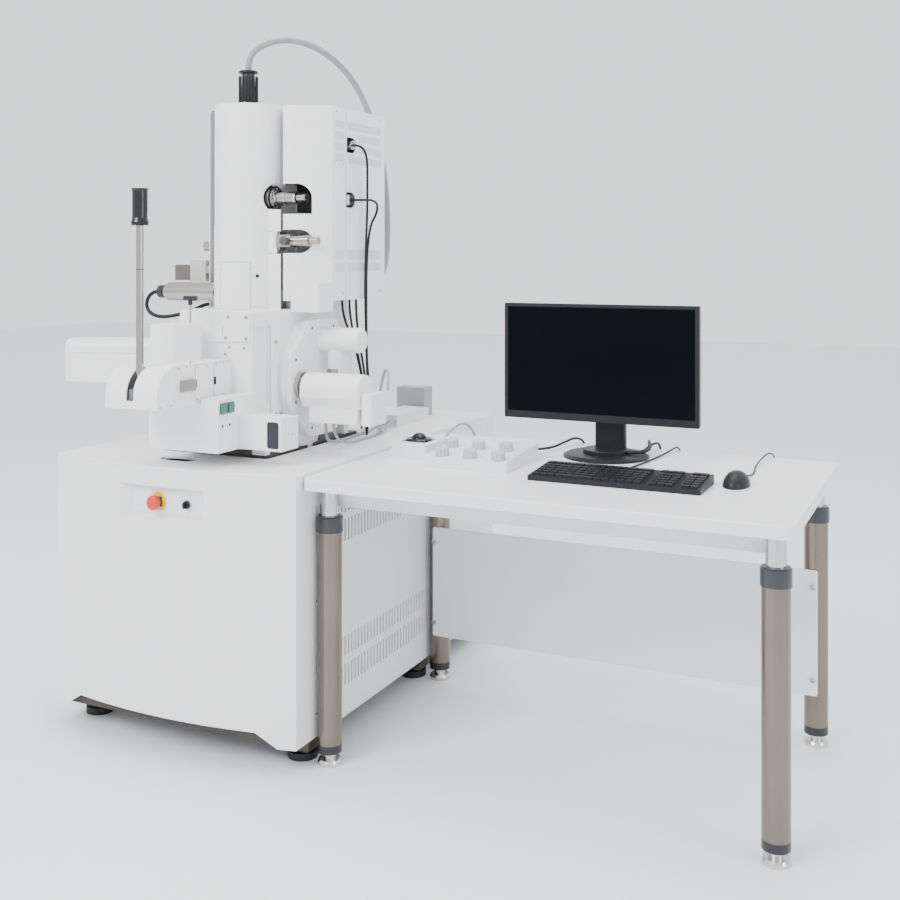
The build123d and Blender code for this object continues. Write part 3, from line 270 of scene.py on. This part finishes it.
tube_finish = material("leg_tube_and_collar", (0.17, 0.15, 0.12), 0.28, 0.85, grain=1600.0, depth=0.05,
                       mottle=0.05, stretch=(6.0, 6.0, 0.5), coat=0.3,
                       zones=[zone(-200, 1100, -500, 300, 576.5, 620, (0.012, 0.014, 0.018), 0.32, 0.0)])
foot_finish = material("foot_chrome_and_ring", (0.62, 0.61, 0.60), 0.18, 1.0, grain=400.0, mottle=0.04,
                       zones=[zone(-200, 1100, -500, 300, 31.2, 52.4, (0.014, 0.014, 0.016), 0.32, 0.0)])
pad_finish = material("bracket_and_pad", (0.085, 0.070, 0.055), 0.45, 0.5, grain=900.0, depth=0.16,
                      mottle=0.14, edge=0.001,
                      zones=[zone(-950, -100, -600, 760, -1, 18.2, (0.010, 0.010, 0.010), 0.6, 0.0)])
stage_finish = material("stage_plate_and_rings", WHITE_COLOUR, 0.42, grain=1500.0, depth=0.10,
                        mottle=0.012, edge=0.0014,
                        zones=[zone(STAGE_FACE + 0.3, -270, -260, -40, 860, 960, *STEEL_ZONE)])
# Painted shade inside the box and round its openings; a black port and a metal fitting on the right face
box_finish = material("electronics_cover", WHITE_COLOUR, 0.42, grain=1500.0, depth=0.10, mottle=0.012,
                      edge=0.0014,
                      zones=[zone(-429.5, BOX_RIGHT - 3.2, -128.5, 168.5, *OPENING_SHADE_ZONE),
                             zone(-320, -290, -150.5, -127, *OPENING_SHADE_ZONE),
                             zone(-385, -318, -166, -127, *OPENING_SHADE_ZONE),
                             zone(BOX_RIGHT - 3.5, BOX_RIGHT + 12, -49, -16, 1405, 1440, *BLACK_ZONE),
                             zone(BOX_RIGHT - 3.5, BOX_RIGHT + 12, -45, -15, 1564, 1594,
                                  (0.45, 0.45, 0.44), 0.3, 1.0)])
loom_finish = material("loom_sheaths", (0.011, 0.011, 0.012), 0.46, grain=1200.0, depth=0.08,
                       zones=[zone(-320, -80, -240, 276, 729, 915, GREY_COLOUR, 0.48, 0.0)])
clasp_finish = material("clasp_steel", (0.34, 0.33, 0.31), 0.32, 0.9, grain=700.0, mottle=0.08,
                        edge=0.0006)
handle_finish = material("release_handle", STEEL_COLOUR, 0.25, 1.0, grain=400.0, edge=0.0006,
                         zones=[zone(-530, -465, -480, -440, 1133.5, 1165, *BLACK_ZONE)])
ball_ring_finish = material("ball_housing", (0.76, 0.77, 0.79), 0.38, grain=2200.0, depth=0.06, edge=0.0012,
                            zones=[zone(-60, 16, -114, -38, DESK_TOP + 37.8, DESK_TOP + 60,
                                        (0.008, 0.008, 0.009), 0.22, 0.0)])
preamp_finish = material("amplifier_boxes", (0.74, 0.74, 0.75), 0.42, grain=1500.0, edge=0.0012,
                         zones=[zone(-420, -300, 510, 590, CONSOLE_TOP - 1, 830, (0.36, 0.36, 0.355),
                                     0.42, 0.5)])
camera_finish = material("camera_box_paint", (0.78, 0.78, 0.79), 0.42, grain=1500.0, depth=0.10,
                         mottle=0.012, edge=0.0014,
                         zones=[zone(-266, -228, -447.5, -445.5, 773, 843, (0.012, 0.014, 0.018), 0.25,
                                     0.0)])

CAD_FINISH = {
    white: ["chamber", "lens_plate", "stage_drive_covers", "column_front_cover", "column_rear_cover",
            "airlock_housing", "airlock_cover", "control_box", "retractable_detector_housing"],
    shade_white: ["front_panel", "right_side_panel", "left_and_rear_panel", "top_plate",
                  "modesty_panel", "desk_frame"],
    laminate: ["desk_top"],
    white_plastic: ["knob_panel"],
    knob_plastic: [f"control_knob_{number}" for number in range(1, 7)],
    steel: ["aperture_knob"],
    steel_dark: ["valve_knob"],
    chrome: ["leg_posts"],
    black: ["monitor_base", "monitor_column", "monitor_carriage", "monitor_head", "keyboard", "mouse",
            "operation_selector"],
    gloss_black: ["trackball"],
    rubber: ["panel_cord", "keyboard_cord", "mouse_cord", "monitor_cords"],
    grey_sheath: ["high_voltage_cable", "trackball_cord"],
    red: ["emergency_stop_button"],
    green: ["evacuate_button", "vent_button"],
    dark_paint: ["base_frame", "isolation_base"],
    column_finish: ["electron_column"],
    detector_finish: ["side_detectors"],
    lever_finish: ["exchange_lever"],
    switch_finish: ["switch_plate"],
    tube_finish: ["leg_tubes"],
    foot_finish: ["leg_feet"],
    pad_finish: ["levelling_feet"],
    stage_finish: ["stage_plate"],
    box_finish: ["electronics_box"],
    loom_finish: ["cable_loom"],
    clasp_finish: ["airlock_clasp"],
    handle_finish: ["gate_release_handle"],
    ball_ring_finish: ["trackball_housing"],
    preamp_finish: ["preamplifier_boxes"],
    camera_finish: ["camera_box"],
}
for finish, names in CAD_FINISH.items():
    for name in names:
        target = nodes[name]
        if not target.material_slots:
            target.data.materials.append(finish)
        for material_slot in target.material_slots:
            material_slot.material = finish


# Mesh building

def add_box(mesh, low, high):
    """A box between two layout corners."""
    xs, ys, zs = zip(low, high)
    corners = [mesh.verts.new(at(x, y, z)) for x in xs for y in ys for z in zs]
    for quad in ((0, 1, 3, 2), (4, 6, 7, 5), (0, 4, 5, 1), (2, 3, 7, 6), (0, 2, 6, 4), (1, 5, 7, 3)):
        mesh.faces.new([corners[index] for index in quad])


def add_turned(mesh, spot, axis, profile, steps=24, ring=False):
    """A solid of revolution from points of radius and distance, with end caps or closed as a ring."""
    axis = Vector(axis).normalized()
    side = axis.orthogonal().normalized()
    across = axis.cross(side)
    base = at(*spot)
    rings = []
    for radius, along in profile:
        circle = []
        for step in range(steps):
            angle = 2 * math.pi * step / steps
            out = side * math.cos(angle) + across * math.sin(angle)
            circle.append(mesh.verts.new(base + (axis * along + out * radius) * MM))
        rings.append(circle)
    pairs = list(zip(rings, rings[1:]))
    if ring:
        pairs.append((rings[-1], rings[0]))
    for first, second in pairs:
        for step in range(steps):
            following = (step + 1) % steps
            mesh.faces.new((first[step], first[following], second[following], second[step]))
    if not ring:
        mesh.faces.new(list(reversed(rings[0])))
        mesh.faces.new(rings[-1])


def add_curved_plate(mesh, centre, radius, thick, angle0, angle1, z0, z1, steps=14):
    """A plate bent round an upright axis between two angles in degrees."""
    rows = []
    for step in range(steps + 1):
        angle = math.radians(angle0 + (angle1 - angle0) * step / steps)
        row = []
        for r in (radius, radius + thick):
            x, y = centre[0] + r * math.cos(angle), centre[1] + r * math.sin(angle)
            row += [mesh.verts.new(at(x, y, z0)), mesh.verts.new(at(x, y, z1))]
        rows.append(row)
    for a, b in zip(rows, rows[1:]):
        for quad in ((0, 1), (1, 3), (3, 2), (2, 0)):
            mesh.faces.new((a[quad[0]], a[quad[1]], b[quad[1]], b[quad[0]]))
    mesh.faces.new([rows[0][index] for index in (0, 2, 3, 1)])
    mesh.faces.new([rows[-1][index] for index in (0, 1, 3, 2)])


SHARP = math.radians(32)
BEVEL_SEGMENTS = 2


def piece(name, mesh, finish, body, bevel=0.0):
    """Turn a bmesh into a piece that rides on a body."""
    bmesh.ops.recalc_face_normals(mesh, faces=mesh.faces)
    data = bpy.data.meshes.new(name)
    for face in mesh.faces:
        face.smooth = True
    for edge in mesh.edges:
        if len(edge.link_faces) == 2 and edge.calc_face_angle(0.0) > SHARP:
            edge.smooth = False
    mesh.to_mesh(data)
    mesh.free()
    data.materials.append(finish)
    made = bpy.data.objects.new(name, data)
    bpy.context.scene.collection.objects.link(made)
    if bevel:
        rounding = made.modifiers.new("edges", "BEVEL")
        rounding.width = bevel * MM
        rounding.segments = BEVEL_SEGMENTS
        rounding.limit_method = "ANGLE"
        rounding.angle_limit = SHARP
        rounding.harden_normals = True
    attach(made, body)
    return made


def boxes(name, corners, finish, body, bevel=0.0):
    """One piece made of boxes."""
    mesh = bmesh.new()
    for low, high in corners:
        add_box(mesh, low, high)
    return piece(name, mesh, finish, body, bevel)


def screws(name, spots, axis, radius, finish=steel, tall=1.2, socket=True):
    """Screw heads that stand on a face of the console, each with a round socket or a plain top."""
    mesh = bmesh.new()
    for spot in spots:
        profile = [(radius, 0.0), (radius, tall * 0.6), (radius * 0.82, tall)]
        if socket:
            profile += [(radius * 0.48, tall), (radius * 0.44, tall * 0.35)]
        add_turned(mesh, spot, axis, profile, 16)
    return piece(name, mesh, finish, "console")


def tube(name, points, diameter, finish, body):
    """A smooth round lead through given control points in the layout."""
    curve = bpy.data.curves.new(name, "CURVE")
    curve.dimensions = "3D"
    curve.bevel_depth = diameter / 2 * MM
    curve.bevel_resolution = 5
    curve.resolution_u = 10
    curve.use_fill_caps = True
    spline = curve.splines.new("NURBS")
    spline.points.add(len(points) - 1)
    for control, point in zip(spline.points, points):
        control.co = (*at(*point), 1.0)
    spline.order_u = 3
    spline.use_endpoint_u = True
    curve.materials.append(finish)
    made = bpy.data.objects.new(name, curve)
    bpy.context.scene.collection.objects.link(made)
    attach(made, body)
    return made


def lead_length(made):
    """The length of a lead's own line, in metres."""
    plain = made.data.copy()
    plain.bevel_depth = 0.0
    bare = bpy.data.objects.new("measure", plain)
    line = bpy.data.meshes.new_from_object(bare)
    points = [vert.co.copy() for vert in line.vertices]
    bpy.data.objects.remove(bare)
    bpy.data.curves.remove(plain)
    bpy.data.meshes.remove(line)
    return sum((b - a).length for a, b in zip(points, points[1:]))


# Camera at the photograph's viewpoint

EYE = (1367.0, -2822.0, 1259.0)
EYE_TURN = math.radians(25.26)
LENS = 44.92
LENS_SHIFT = -0.2144

camera_data = bpy.data.cameras.new("camera")
camera_data.sensor_width = 36.0
camera_data.lens = LENS
camera_data.shift_y = LENS_SHIFT
camera = bpy.data.objects.new("camera", camera_data)
camera.location = at(*EYE)
camera.rotation_euler = (math.radians(90), 0.0, EYE_TURN)
bpy.context.scene.collection.objects.link(camera)
bpy.context.scene.camera = camera

# Floor and light

FLOOR_HALF = 14.0
SKY_COLOUR = (0.95, 0.97, 1.0, 1.0)
SKY_STRENGTH = 1.55

floor_mesh = bmesh.new()
bmesh.ops.create_grid(floor_mesh, x_segments=2, y_segments=2, size=FLOOR_HALF)
floor_data = bpy.data.meshes.new("floor")
floor_mesh.to_mesh(floor_data)
floor_mesh.free()
floor_finish = material("floor_white", (0.86, 0.87, 0.89), 0.6, grain=60.0, depth=0.01, mottle=0.004)
floor_data.materials.append(floor_finish)
floor = bpy.data.objects.new("floor", floor_data)
bpy.context.scene.collection.objects.link(floor)

world = bpy.data.worlds.new("studio")
world.use_nodes = True
sky = world.node_tree.nodes["Background"]
sky.inputs["Color"].default_value = SKY_COLOUR
sky.inputs["Strength"].default_value = SKY_STRENGTH
bpy.context.scene.world = world


def lamp(name, spot, aim, size, power):
    """A white rectangular area light, placed in metres and aimed at a point."""
    light = bpy.data.lights.new(name, "AREA")
    light.shape = "RECTANGLE"
    light.size, light.size_y = size
    light.energy = power
    made = bpy.data.objects.new(name, light)
    made.location = spot
    made.rotation_euler = (Vector(aim) - Vector(spot)).to_track_quat("-Z", "Y").to_euler()
    bpy.context.scene.collection.objects.link(made)


lamp("key", (-1.6, -4.6, 4.2), (0.0, 0.0, 0.8), (3.0, 2.4), 330)
lamp("top", (0.4, 0.2, 4.6), (0.2, 0.0, 0.6), (3.4, 2.6), 130)
lamp("side", (4.8, -1.4, 2.2), (0.0, 0.0, 0.9), (1.6, 2.6), 60)

# Cords

high_voltage_points = [
    (-533, -152, 1793.2), (-533, -152, 1835), (-492, -135, 1871), (-440, -92, 1888), (-394, -32, 1877),
    (-362, 40, 1844), (-338, 112, 1790), (-322, 180, 1700), (-306, 222, 1590), (-297, 242, 1470),
    (-297, 252, 1350), (-302, 254, 1262), (-308, 238, 1206), (-312, 208, 1184), (-312, 172.2, 1184),
]
detector_points = [
    (-819.2, -190, 1158), (-842, -190, 1158), (-864, -194, 1140), (-866, -198, 1110), (-844, -200, 1090),
    (-808, -198, 1082), (-764, -190, 1088), (-722, -176, 1100), (-706, -152, 1112), (-690, -140, 1121),
    (-671.3, -140, 1121),
]
black_loom_points = [
    [(-256.8, -30, 1579), (-240, -30, 1579), (-230, -14, 1568), (-232, 8, 1540), (-240, 22, 1480),
     (-243, 27, 1390),
     (-246, 24, 1290), (-250, 26, 1170), (-252, 34, 1050), (-254, 46, 930), (-266, 68, 830),
     (-282, 92, 776), (-286, 100, 752), (-286, 100, 728.2)],
    [(-258.8, -34, 1422), (-240, -34, 1422), (-228, -12, 1423), (-226, 30, 1424), (-230, 66, 1414),
     (-238, 74, 1386),
     (-250, 54, 1350), (-254, 42, 1250), (-257, 46, 1130), (-262, 56, 1020), (-268, 72, 910),
     (-284, 108, 820), (-302, 132, 774), (-306, 140, 752), (-306, 140, 728.2)],
    [(-300, 60, 1136.8), (-300, 60, 1090), (-294, 70, 1005), (-288, 92, 910), (-296, 120, 826),
     (-316, 150, 774), (-320, 156, 752), (-320, 156, 728.2)],
    [(-330, 30, 1136.8), (-330, 30, 1090), (-308, 62, 1010), (-300, 100, 890), (-306, 140, 800),
     (-330, 178, 772), (-334, 184, 750), (-334, 184, 728.2)],
    [(-300, 120, 1136.8), (-300, 120, 1090), (-306, 130, 980), (-304, 144, 890), (-314, 170, 800),
     (-340, 202, 770), (-346, 210, 750), (-346, 210, 728.2)],
    [(-338, 86, 1136.8), (-338, 86, 1090), (-322, 104, 980), (-314, 130, 880), (-324, 164, 796),
     (-358, 200, 770), (-364, 206, 750), (-364, 206, 728.2)],
]
grey_loom_points = [
    [(-236, -213, 814.8), (-236, -213, 796), (-248, -190, 768), (-272, -140, 746), (-288, -70, 735),
     (-296, 10, 733), (-300, 90, 733), (-302, 170, 736), (-304, 236, 744), (-304, 275.8, 744)],
    [(-206, -222, 814.8), (-206, -222, 798), (-214, -196, 772), (-232, -140, 746), (-246, -70, 735),
     (-250, 10, 733), (-252, 90, 733), (-264, 170, 736), (-284, 236, 746), (-284, 275.8, 746)],
    [(-95, -120, 896.2), (-95, -120, 918), (-106, -100, 946), (-134, -66, 944), (-164, -30, 906),
     (-192, 4, 850), (-214, 36, 796), (-232, 76, 756), (-250, 130, 738), (-282, 190, 740), (-328, 240, 748),
     (-328, 275.8, 748)],
]
trackball_points = [
    (0, 10.2, 746), (0, 36, 746), (-2, 88, 764), (-6, 146, 772), (-12, 204, 768), (-18, 260, 746),
    (-20, 296, 718), (-20, 304, 690), (-18, 290, 672), (-14, 262, 666), (-6, 238, 658), (10, 220, 643),
    (36, 214, 640),
]
panel_points = [
    (262, -13.8, 740), (262, 16, 740), (274, 68, 732), (292, 128, 729), (306, 188, 736), (318, 244, 742),
    (326, 290, 728), (328, 306, 702), (328, 296, 678), (330, 268, 668), (336, 242, 658), (352, 222, 643),
    (380, 214, 640),
]
keyboard_points = [
    (560, -139.8, 732), (560, -112, 731), (562, -60, 723.2), (570, 0, 723.2), (579, 60, 723.2),
    (584, 120, 723.2),
    (592, 176, 724), (602, 232, 730), (606, 274, 732), (608, 302, 714), (606, 304, 688), (606, 286, 670),
    (608, 258, 664), (616, 236, 654), (634, 220, 640), (664, 214, 638.5),
]
mouse_points = [
    (850, -88.6, 732), (850, -66, 732), (860, -20, 723), (858, 40, 723), (848, 100, 723),
    (848, 160, 728), (854, 216, 736),
    (862, 262, 736), (866, 298, 718), (864, 304, 692), (860, 288, 672), (852, 260, 664), (836, 238, 654),
    (812, 222, 640), (780, 216, 638),
]
monitor_points = [
    [(515.7, 92.3, 737), (526, 90.9, 737), (546, 95, 738), (564, 118, 740), (563, 156, 746),
     (550, 196, 750),
     (535, 234, 750), (524, 276, 738), (518, 304, 714), (516, 304, 688), (514, 284, 670), (508, 256, 664),
     (492, 234, 654), (468, 220, 642), (436, 214, 640)],
    [(515.7, 109.7, 737), (526, 111.1, 737), (540, 120, 737), (547, 146, 736), (543, 180, 736),
     (546, 214, 740),
     (550, 250, 741), (552, 286, 734), (550, 306, 712), (550, 304, 686), (552, 284, 670), (556, 256, 664),
     (546, 234, 654), (522, 220, 642), (490, 212, 640)],
]


def free_cord(name, points, diameter, finish, body):
    """A cord whose both ends meet the object."""
    made = tube(name, points, diameter, finish, body)
    round(lead_length(made), 4)
    return made


high_voltage = free_cord("high_voltage_lead", high_voltage_points, 18, pale_sheath, "console")
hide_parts("high_voltage_cable")
loom = [free_cord("detector_lead", detector_points, 11, rubber, "console")]
for number, points in enumerate(black_loom_points, start=1):
    loom.append(free_cord(f"black_lead_{number}", points, 7, rubber, "console"))
for number, points in enumerate(grey_loom_points, start=1):
    loom.append(free_cord(f"grey_lead_{number}", points, 8, grey_sheath, "console"))
for lead in loom:
    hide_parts("cable_loom")
trackball_lead = free_cord("trackball_lead", trackball_points, 7, grey_sheath, "desk")
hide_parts("trackball_cord")
panel_lead = free_cord("panel_lead", panel_points, 7, rubber, "desk")
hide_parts("panel_cord")
keyboard_lead = free_cord("keyboard_lead", keyboard_points, 5, rubber, "desk")
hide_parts("keyboard_cord")
mouse_lead = free_cord("mouse_lead", mouse_points, 4, rubber, "desk")
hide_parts("mouse_cord")
for number, points in enumerate(monitor_points, start=1):
    monitor_lead = free_cord(f"monitor_lead_{number}", points, 7, rubber, "desk")
    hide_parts("monitor_cords")

# Stage plate bolts and the chamber's own screws

STAGE_BOLTS = 8
STAGE_BOLT_R = 150.0
COVER_PLATE_FRONT = -399.3

stage_bolts = []
for step in range(STAGE_BOLTS):
    angle = 2 * math.pi * (step + 0.5) / STAGE_BOLTS
    y = STAGE[0] + STAGE_BOLT_R * math.cos(angle)
    stage_bolts.append((STAGE_FACE - 6.0, y, STAGE[1] + STAGE_BOLT_R * math.sin(angle)))
screws("stage_bolts", stage_bolts, (1, 0, 0), 4.8, steel_dark, tall=5.0)
screws("chamber_side_bolts", [(-344.0, -294, 1031), (-344.0, -294, 837), (CHAMBER_RIGHT, -258, 834)],
       (1, 0, 0), 5.0, tall=4.0)
plate_bolts = [(x, COVER_PLATE_FRONT, z) for x, z in ((-421, 1101), (-364, 1101), (-429, 1046),
                                                      (-364, 1046))]
screws("cover_plate_bolts", plate_bolts, (0, -1, 0), 4.6, tall=3.0)
ledge_bolts = [(x, CHAMBER_FRONT, z) for x, z in ((-425, 1020), (-378, 1020), (-438, 1003))]
screws("ledge_bolts", ledge_bolts, (0, -1, 0), 4.0, tall=2.0)

# Column cover panels

panel_mesh = bmesh.new()
add_curved_plate(panel_mesh, COLUMN, COVER_R - 0.5, 1.6, -107.0, -51.0, SLAB_TOP + 0.4, 1244)
piece("column_access_panel", panel_mesh, white, "console", 0.5)
gap_mesh = bmesh.new()
add_curved_plate(gap_mesh, COLUMN, COVER_R - 0.8, 1.1, -107.6, -50.3, SLAB_TOP + 0.4, 1245.2)
piece("column_access_gap", gap_mesh, shadow_gap, "console")
strip_mesh = bmesh.new()
add_curved_plate(strip_mesh, COLUMN, COVER_R - 0.5, 2.2, -137.7, -108.5, SLAB_TOP + 0.4, 1350)
piece("column_left_strip", strip_mesh, white, "console", 0.6)


def on_cover(angle, z):
    """A point on the column cover's round face."""
    turn = math.radians(angle)
    return (COLUMN[0] + COVER_R * math.cos(turn), COLUMN[1] + COVER_R * math.sin(turn), z)


def cover_buttons(name, spots, radius, finish, tall):
    """Low round buttons on the column cover, at an angle and a height each."""
    mesh = bmesh.new()
    for angle, z in spots:
        turn = math.radians(angle)
        profile = [(radius, -0.6), (radius, tall * 0.5), (radius * 0.7, tall)]
        add_turned(mesh, on_cover(angle, z), (math.cos(turn), math.sin(turn), 0), profile, 16)
    return piece(name, mesh, finish, "console")


cover_buttons("cover_plugs",
              [(-41.7, 1638), (-41.7, 1466), (-41.1, 1369), (-41.1, 1355), (-37.5, 1266), (-37.5, 1254),
               (-74.2, 1256)],
              3.6, white, 1.2)
cover_buttons("cover_screws",
              [(-105, 1238), (-105, 1226), (-105, 1122), (-53, 1226), (-53, 1120), (-45, 1120),
               (-39, 1120)],
              2.0, steel, 1.4)
cover_buttons("cover_eyelet", [(-39.5, 1206)], 5.2, gloss_black, 0.9)
STRIP_FRONT = -184.0
strip_screws = [(-446, STRIP_FRONT, z) for z in (1390, 1345, 1322, 1276, 1252, 1119)]
screws("strip_screws", strip_screws, (0, -1, 0), 2.2, tall=1.0)
strip_seams = [((-446, STRIP_FRONT - 0.35, z), (right, STRIP_FRONT + 0.2, z + 1.0)) for right,
               z in ((-414, 1331), (-403, 1268))]
boxes("strip_seams", strip_seams, shadow_gap, "console")

# Electronics box: louvre fields in painted slot shade, seam and screws

LOUVRE_HALF = 1.4
LOUVRE_PITCH = 4.6
LOUVRE_STAND = 0.25
STRIP_SINK = 0.2
TOP_LOUVRE_TALL = 22
LOW_LOUVRE_TALL = 26


def louvre_field(corners, y0, y1, z_top, tall):
    """Upright strips side by side on the box's right face, grey as painted shade of the vent slots."""
    for index in range(int((y1 - y0) / LOUVRE_PITCH)):
        y = y0 + LOUVRE_PITCH * (index + 0.5)
        low = (BOX_RIGHT - STRIP_SINK, y - LOUVRE_HALF, z_top - tall)
        corners.append((low, (BOX_RIGHT + LOUVRE_STAND, y + LOUVRE_HALF, z_top)))


louvres = []
for z_top in (1645, 1613, 1581, 1549):
    louvre_field(louvres, -117, -64, z_top, TOP_LOUVRE_TALL)
for y0, z_top in ((-46, 1645), (16, 1613), (16, 1581), (-46, 1549)):
    louvre_field(louvres, y0, 149, z_top, TOP_LOUVRE_TALL)
for z_top in (1279, 1243):
    louvre_field(louvres, -117, -64, z_top, LOW_LOUVRE_TALL)
    louvre_field(louvres, -48, 146, z_top, LOW_LOUVRE_TALL)
# The louvre strips carry painted slot shade, not a grey finish of their own
boxes("box_louvres", louvres, vent_slot_shade, "console")
box_seam = [((BOX_RIGHT - STRIP_SINK, -57.6, 1138), (BOX_RIGHT + 0.3, -56.6, 1681))]
boxes("box_seam", box_seam, shadow_gap, "console")
box_screws = [(BOX_RIGHT, y, z) for y, z in ((-71, 1522), (-74, 1158), (140, 1158), (140, 1668),
                                             (-110, 1668))]
screws("box_screws", box_screws, (1, 0, 0), 2.6)

# Airlock side panels, latches and screws

DOOR_FACE = AIRLOCK_RIGHT + 1.8
DOOR_LOW = 896.0
DOOR_HIGH = 986.0
DOOR_GAP = 0.9

for name, y0, y1 in (("airlock_front_door", -543, -491), ("airlock_rear_door", -466, -400)):
    door = ((AIRLOCK_RIGHT - 1, y0, DOOR_LOW), (DOOR_FACE, y1, DOOR_HIGH))
    boxes(name, [door], white, "console", 1.0)
    gap_low = (AIRLOCK_RIGHT - 0.5, y0 - DOOR_GAP, DOOR_LOW - DOOR_GAP)
    gap_high = (AIRLOCK_RIGHT + 0.4, y1 + DOOR_GAP, DOOR_HIGH + DOOR_GAP)
    boxes(name + "_gap", [(gap_low, gap_high)], shadow_gap, "console")
latches = [((AIRLOCK_RIGHT, y - 3.5, 931), (AIRLOCK_RIGHT + 3.2, y + 3.5, 951)) for y in (-542, -463)]
boxes("airlock_latches", latches, black, "console", 0.8)
door_screws = [(DOOR_FACE, y, z) for y in (-537, -497, -460, -427) for z in (901, 981)]
screws("airlock_screws", door_screws, (1, 0, 0), 2.2, tall=1.0)
body_screws = [(AIRLOCK_RIGHT, y, z) for y, z in ((-676, 896), (-636, 896), (-607, 985), (-575, 985))]
screws("airlock_body_screws", body_screws, (1, 0, 0), 2.2, tall=1.0)

# Control box indicators and button bezels

BEZEL_OUTER = 14.5
BEZEL_INNER = 12.4
BEZEL_STAND = 1.6
BUTTON_LOW = 863.5
BUTTON_HIGH = 892.5
BEZEL_RAIL = 2.1

bezel_mesh = bmesh.new()
for y in (-514, -484):
    bars = [(y - BEZEL_OUTER, y - BEZEL_INNER, BUTTON_LOW, BUTTON_HIGH),
            (y + BEZEL_INNER, y + BEZEL_OUTER, BUTTON_LOW, BUTTON_HIGH),
            (y - BEZEL_INNER, y + BEZEL_INNER, BUTTON_LOW, BUTTON_LOW + BEZEL_RAIL),
            (y - BEZEL_INNER, y + BEZEL_INNER, BUTTON_HIGH - BEZEL_RAIL, BUTTON_HIGH)]
    for y0, y1, z0, z1 in bars:
        add_box(bezel_mesh, (CHAMBER_RIGHT, y0, z0), (CHAMBER_RIGHT + BEZEL_STAND, y1, z1))
piece("button_bezels", bezel_mesh, grey_paint, "console", 0.3)
indicator_lamps = [(CHAMBER_RIGHT, y, 834) for y in (-515, -486)]
screws("indicator_lamps", indicator_lamps, (1, 0, 0), 3.4, black, tall=1.4,
       socket=False)

# Display pane

boxes("screen_pane", [((183.5, 65.4, 836), (702.5, 66.4, 1122.5))], screen_glass, "monitor_head",
      0.3)

# Ring round the tracking ball

UP = (0, 0, 1)
ring_mesh = bmesh.new()
add_turned(ring_mesh, (*BALL, DESK_TOP + 37.4), UP,
           [(37.5, 0.0), (37.5, 2.5), (34.0, 5.5), (29.0, 7.0), (25.8, 6.2), (25.8, 0.0)], 40, ring=True)
piece("ball_bezel", ring_mesh, gloss_black, "desk")

# Boot ribs, flange and clips on the column's top

BOOT_RIBS = 20
BOOT_R = 26.0
CLIP_R = 33.0


def on_boot(radius, angle, z):
    """A point round the column's axis."""
    return (COLUMN[0] + radius * math.cos(angle), COLUMN[1] + radius * math.sin(angle), z)


boot_mesh = bmesh.new()
add_turned(boot_mesh, (*COLUMN, COVER_TOP - 0.5), UP, [(37, 0), (37, 5), (33, 7.5), (28, 8)], 40)
add_turned(boot_mesh, (*COLUMN, 1786), UP, [(27.2, 0), (27.2, 5), (24, 7.0)], 40)
for step in range(BOOT_RIBS):
    spot = on_boot(BOOT_R, 2 * math.pi * step / BOOT_RIBS, COVER_TOP + 7)
    add_turned(boot_mesh, spot, UP, [(1.9, 0), (1.9, 78), (1.0, 80)], 8)
piece("boot_ribs", boot_mesh, rubber, "console")
clip_mesh = bmesh.new()
for degrees in (-150, -75, -10, 60):
    spot = on_boot(CLIP_R, math.radians(degrees), COVER_TOP + 6)
    add_turned(clip_mesh, spot, UP, [(3.0, 0), (3.0, 3.0), (2.2, 4.2)], 12)
piece("boot_clips", clip_mesh, steel, "console")

# Bolts and rings of the aperture drive

DRIVE_ANGLE = math.radians(4)
DRIVE_HEIGHT = 1425.0
DRIVE_BOLTS = 8
DRIVE = Vector((math.cos(DRIVE_ANGLE), -math.sin(DRIVE_ANGLE), 0))


def on_drive(reach, radius=0.0, angle=0.0):
    """A point round the aperture drive's axis."""
    side = Vector((-DRIVE.y, DRIVE.x, 0)) * radius * math.cos(angle)
    base = Vector((*COLUMN, DRIVE_HEIGHT)) + DRIVE * reach + side
    return (base.x, base.y, base.z + radius * math.sin(angle))


drive_mesh = bmesh.new()
add_turned(drive_mesh, on_drive(105), DRIVE, [(22, 0), (22, 5), (19.5, 6.5), (17, 6.5)], 36)
add_turned(drive_mesh, on_drive(134), DRIVE, [(18, 0), (18, 6)], 36)
add_turned(drive_mesh, on_drive(168), DRIVE, [(18.6, 0), (18.6, 7), (17, 8)], 36)
for step in range(DRIVE_BOLTS):
    turn = 2 * math.pi * step / DRIVE_BOLTS
    add_turned(drive_mesh, on_drive(105, 26, turn), DRIVE,
               [(2.4, 0), (2.4, 3.0), (1.2, 3.0), (1.1, 1.0)], 12)
piece("drive_rings", drive_mesh, chrome, "console")
crescent_mesh = bmesh.new()
add_turned(crescent_mesh, on_drive(97.2), DRIVE, [(34.6, 0), (34.6, 2.2), (31, 2.4)], 40)
piece("drive_shadow_ring", crescent_mesh, gloss_black, "console")

# Screws of the console's side panel and the airlock, and dots on the camera box

side_screws = [(CONSOLE_RIGHT, y, z) for y in (-430, 640) for z in (120, 400, 690)]
screws("side_panel_screws", side_screws, (1, 0, 0), 3.0, tall=0.6)
airlock_face_screws = [(AIRLOCK_RIGHT, -410, 1000), (AIRLOCK_RIGHT, -560, 996)]
screws("airlock_face_screws", airlock_face_screws, (1, 0, 0), 2.4, tall=1.0)
camera_dots = [((-221.2, y - 1.4, 807.6), (-220.4, y + 1.4, 810.4)) for y in (-419, -400)]
boxes("camera_dots", camera_dots, shadow_gap, "console")

# Bolts on the modesty panel

MODESTY_FRONT = 170.1
modesty_bolts = [(x, MODESTY_FRONT, z) for x in (-97, 980) for z in (413, 176)]
screws("modesty_bolts", modesty_bolts, (0, -1, 0), 6.5, tall=3.0)
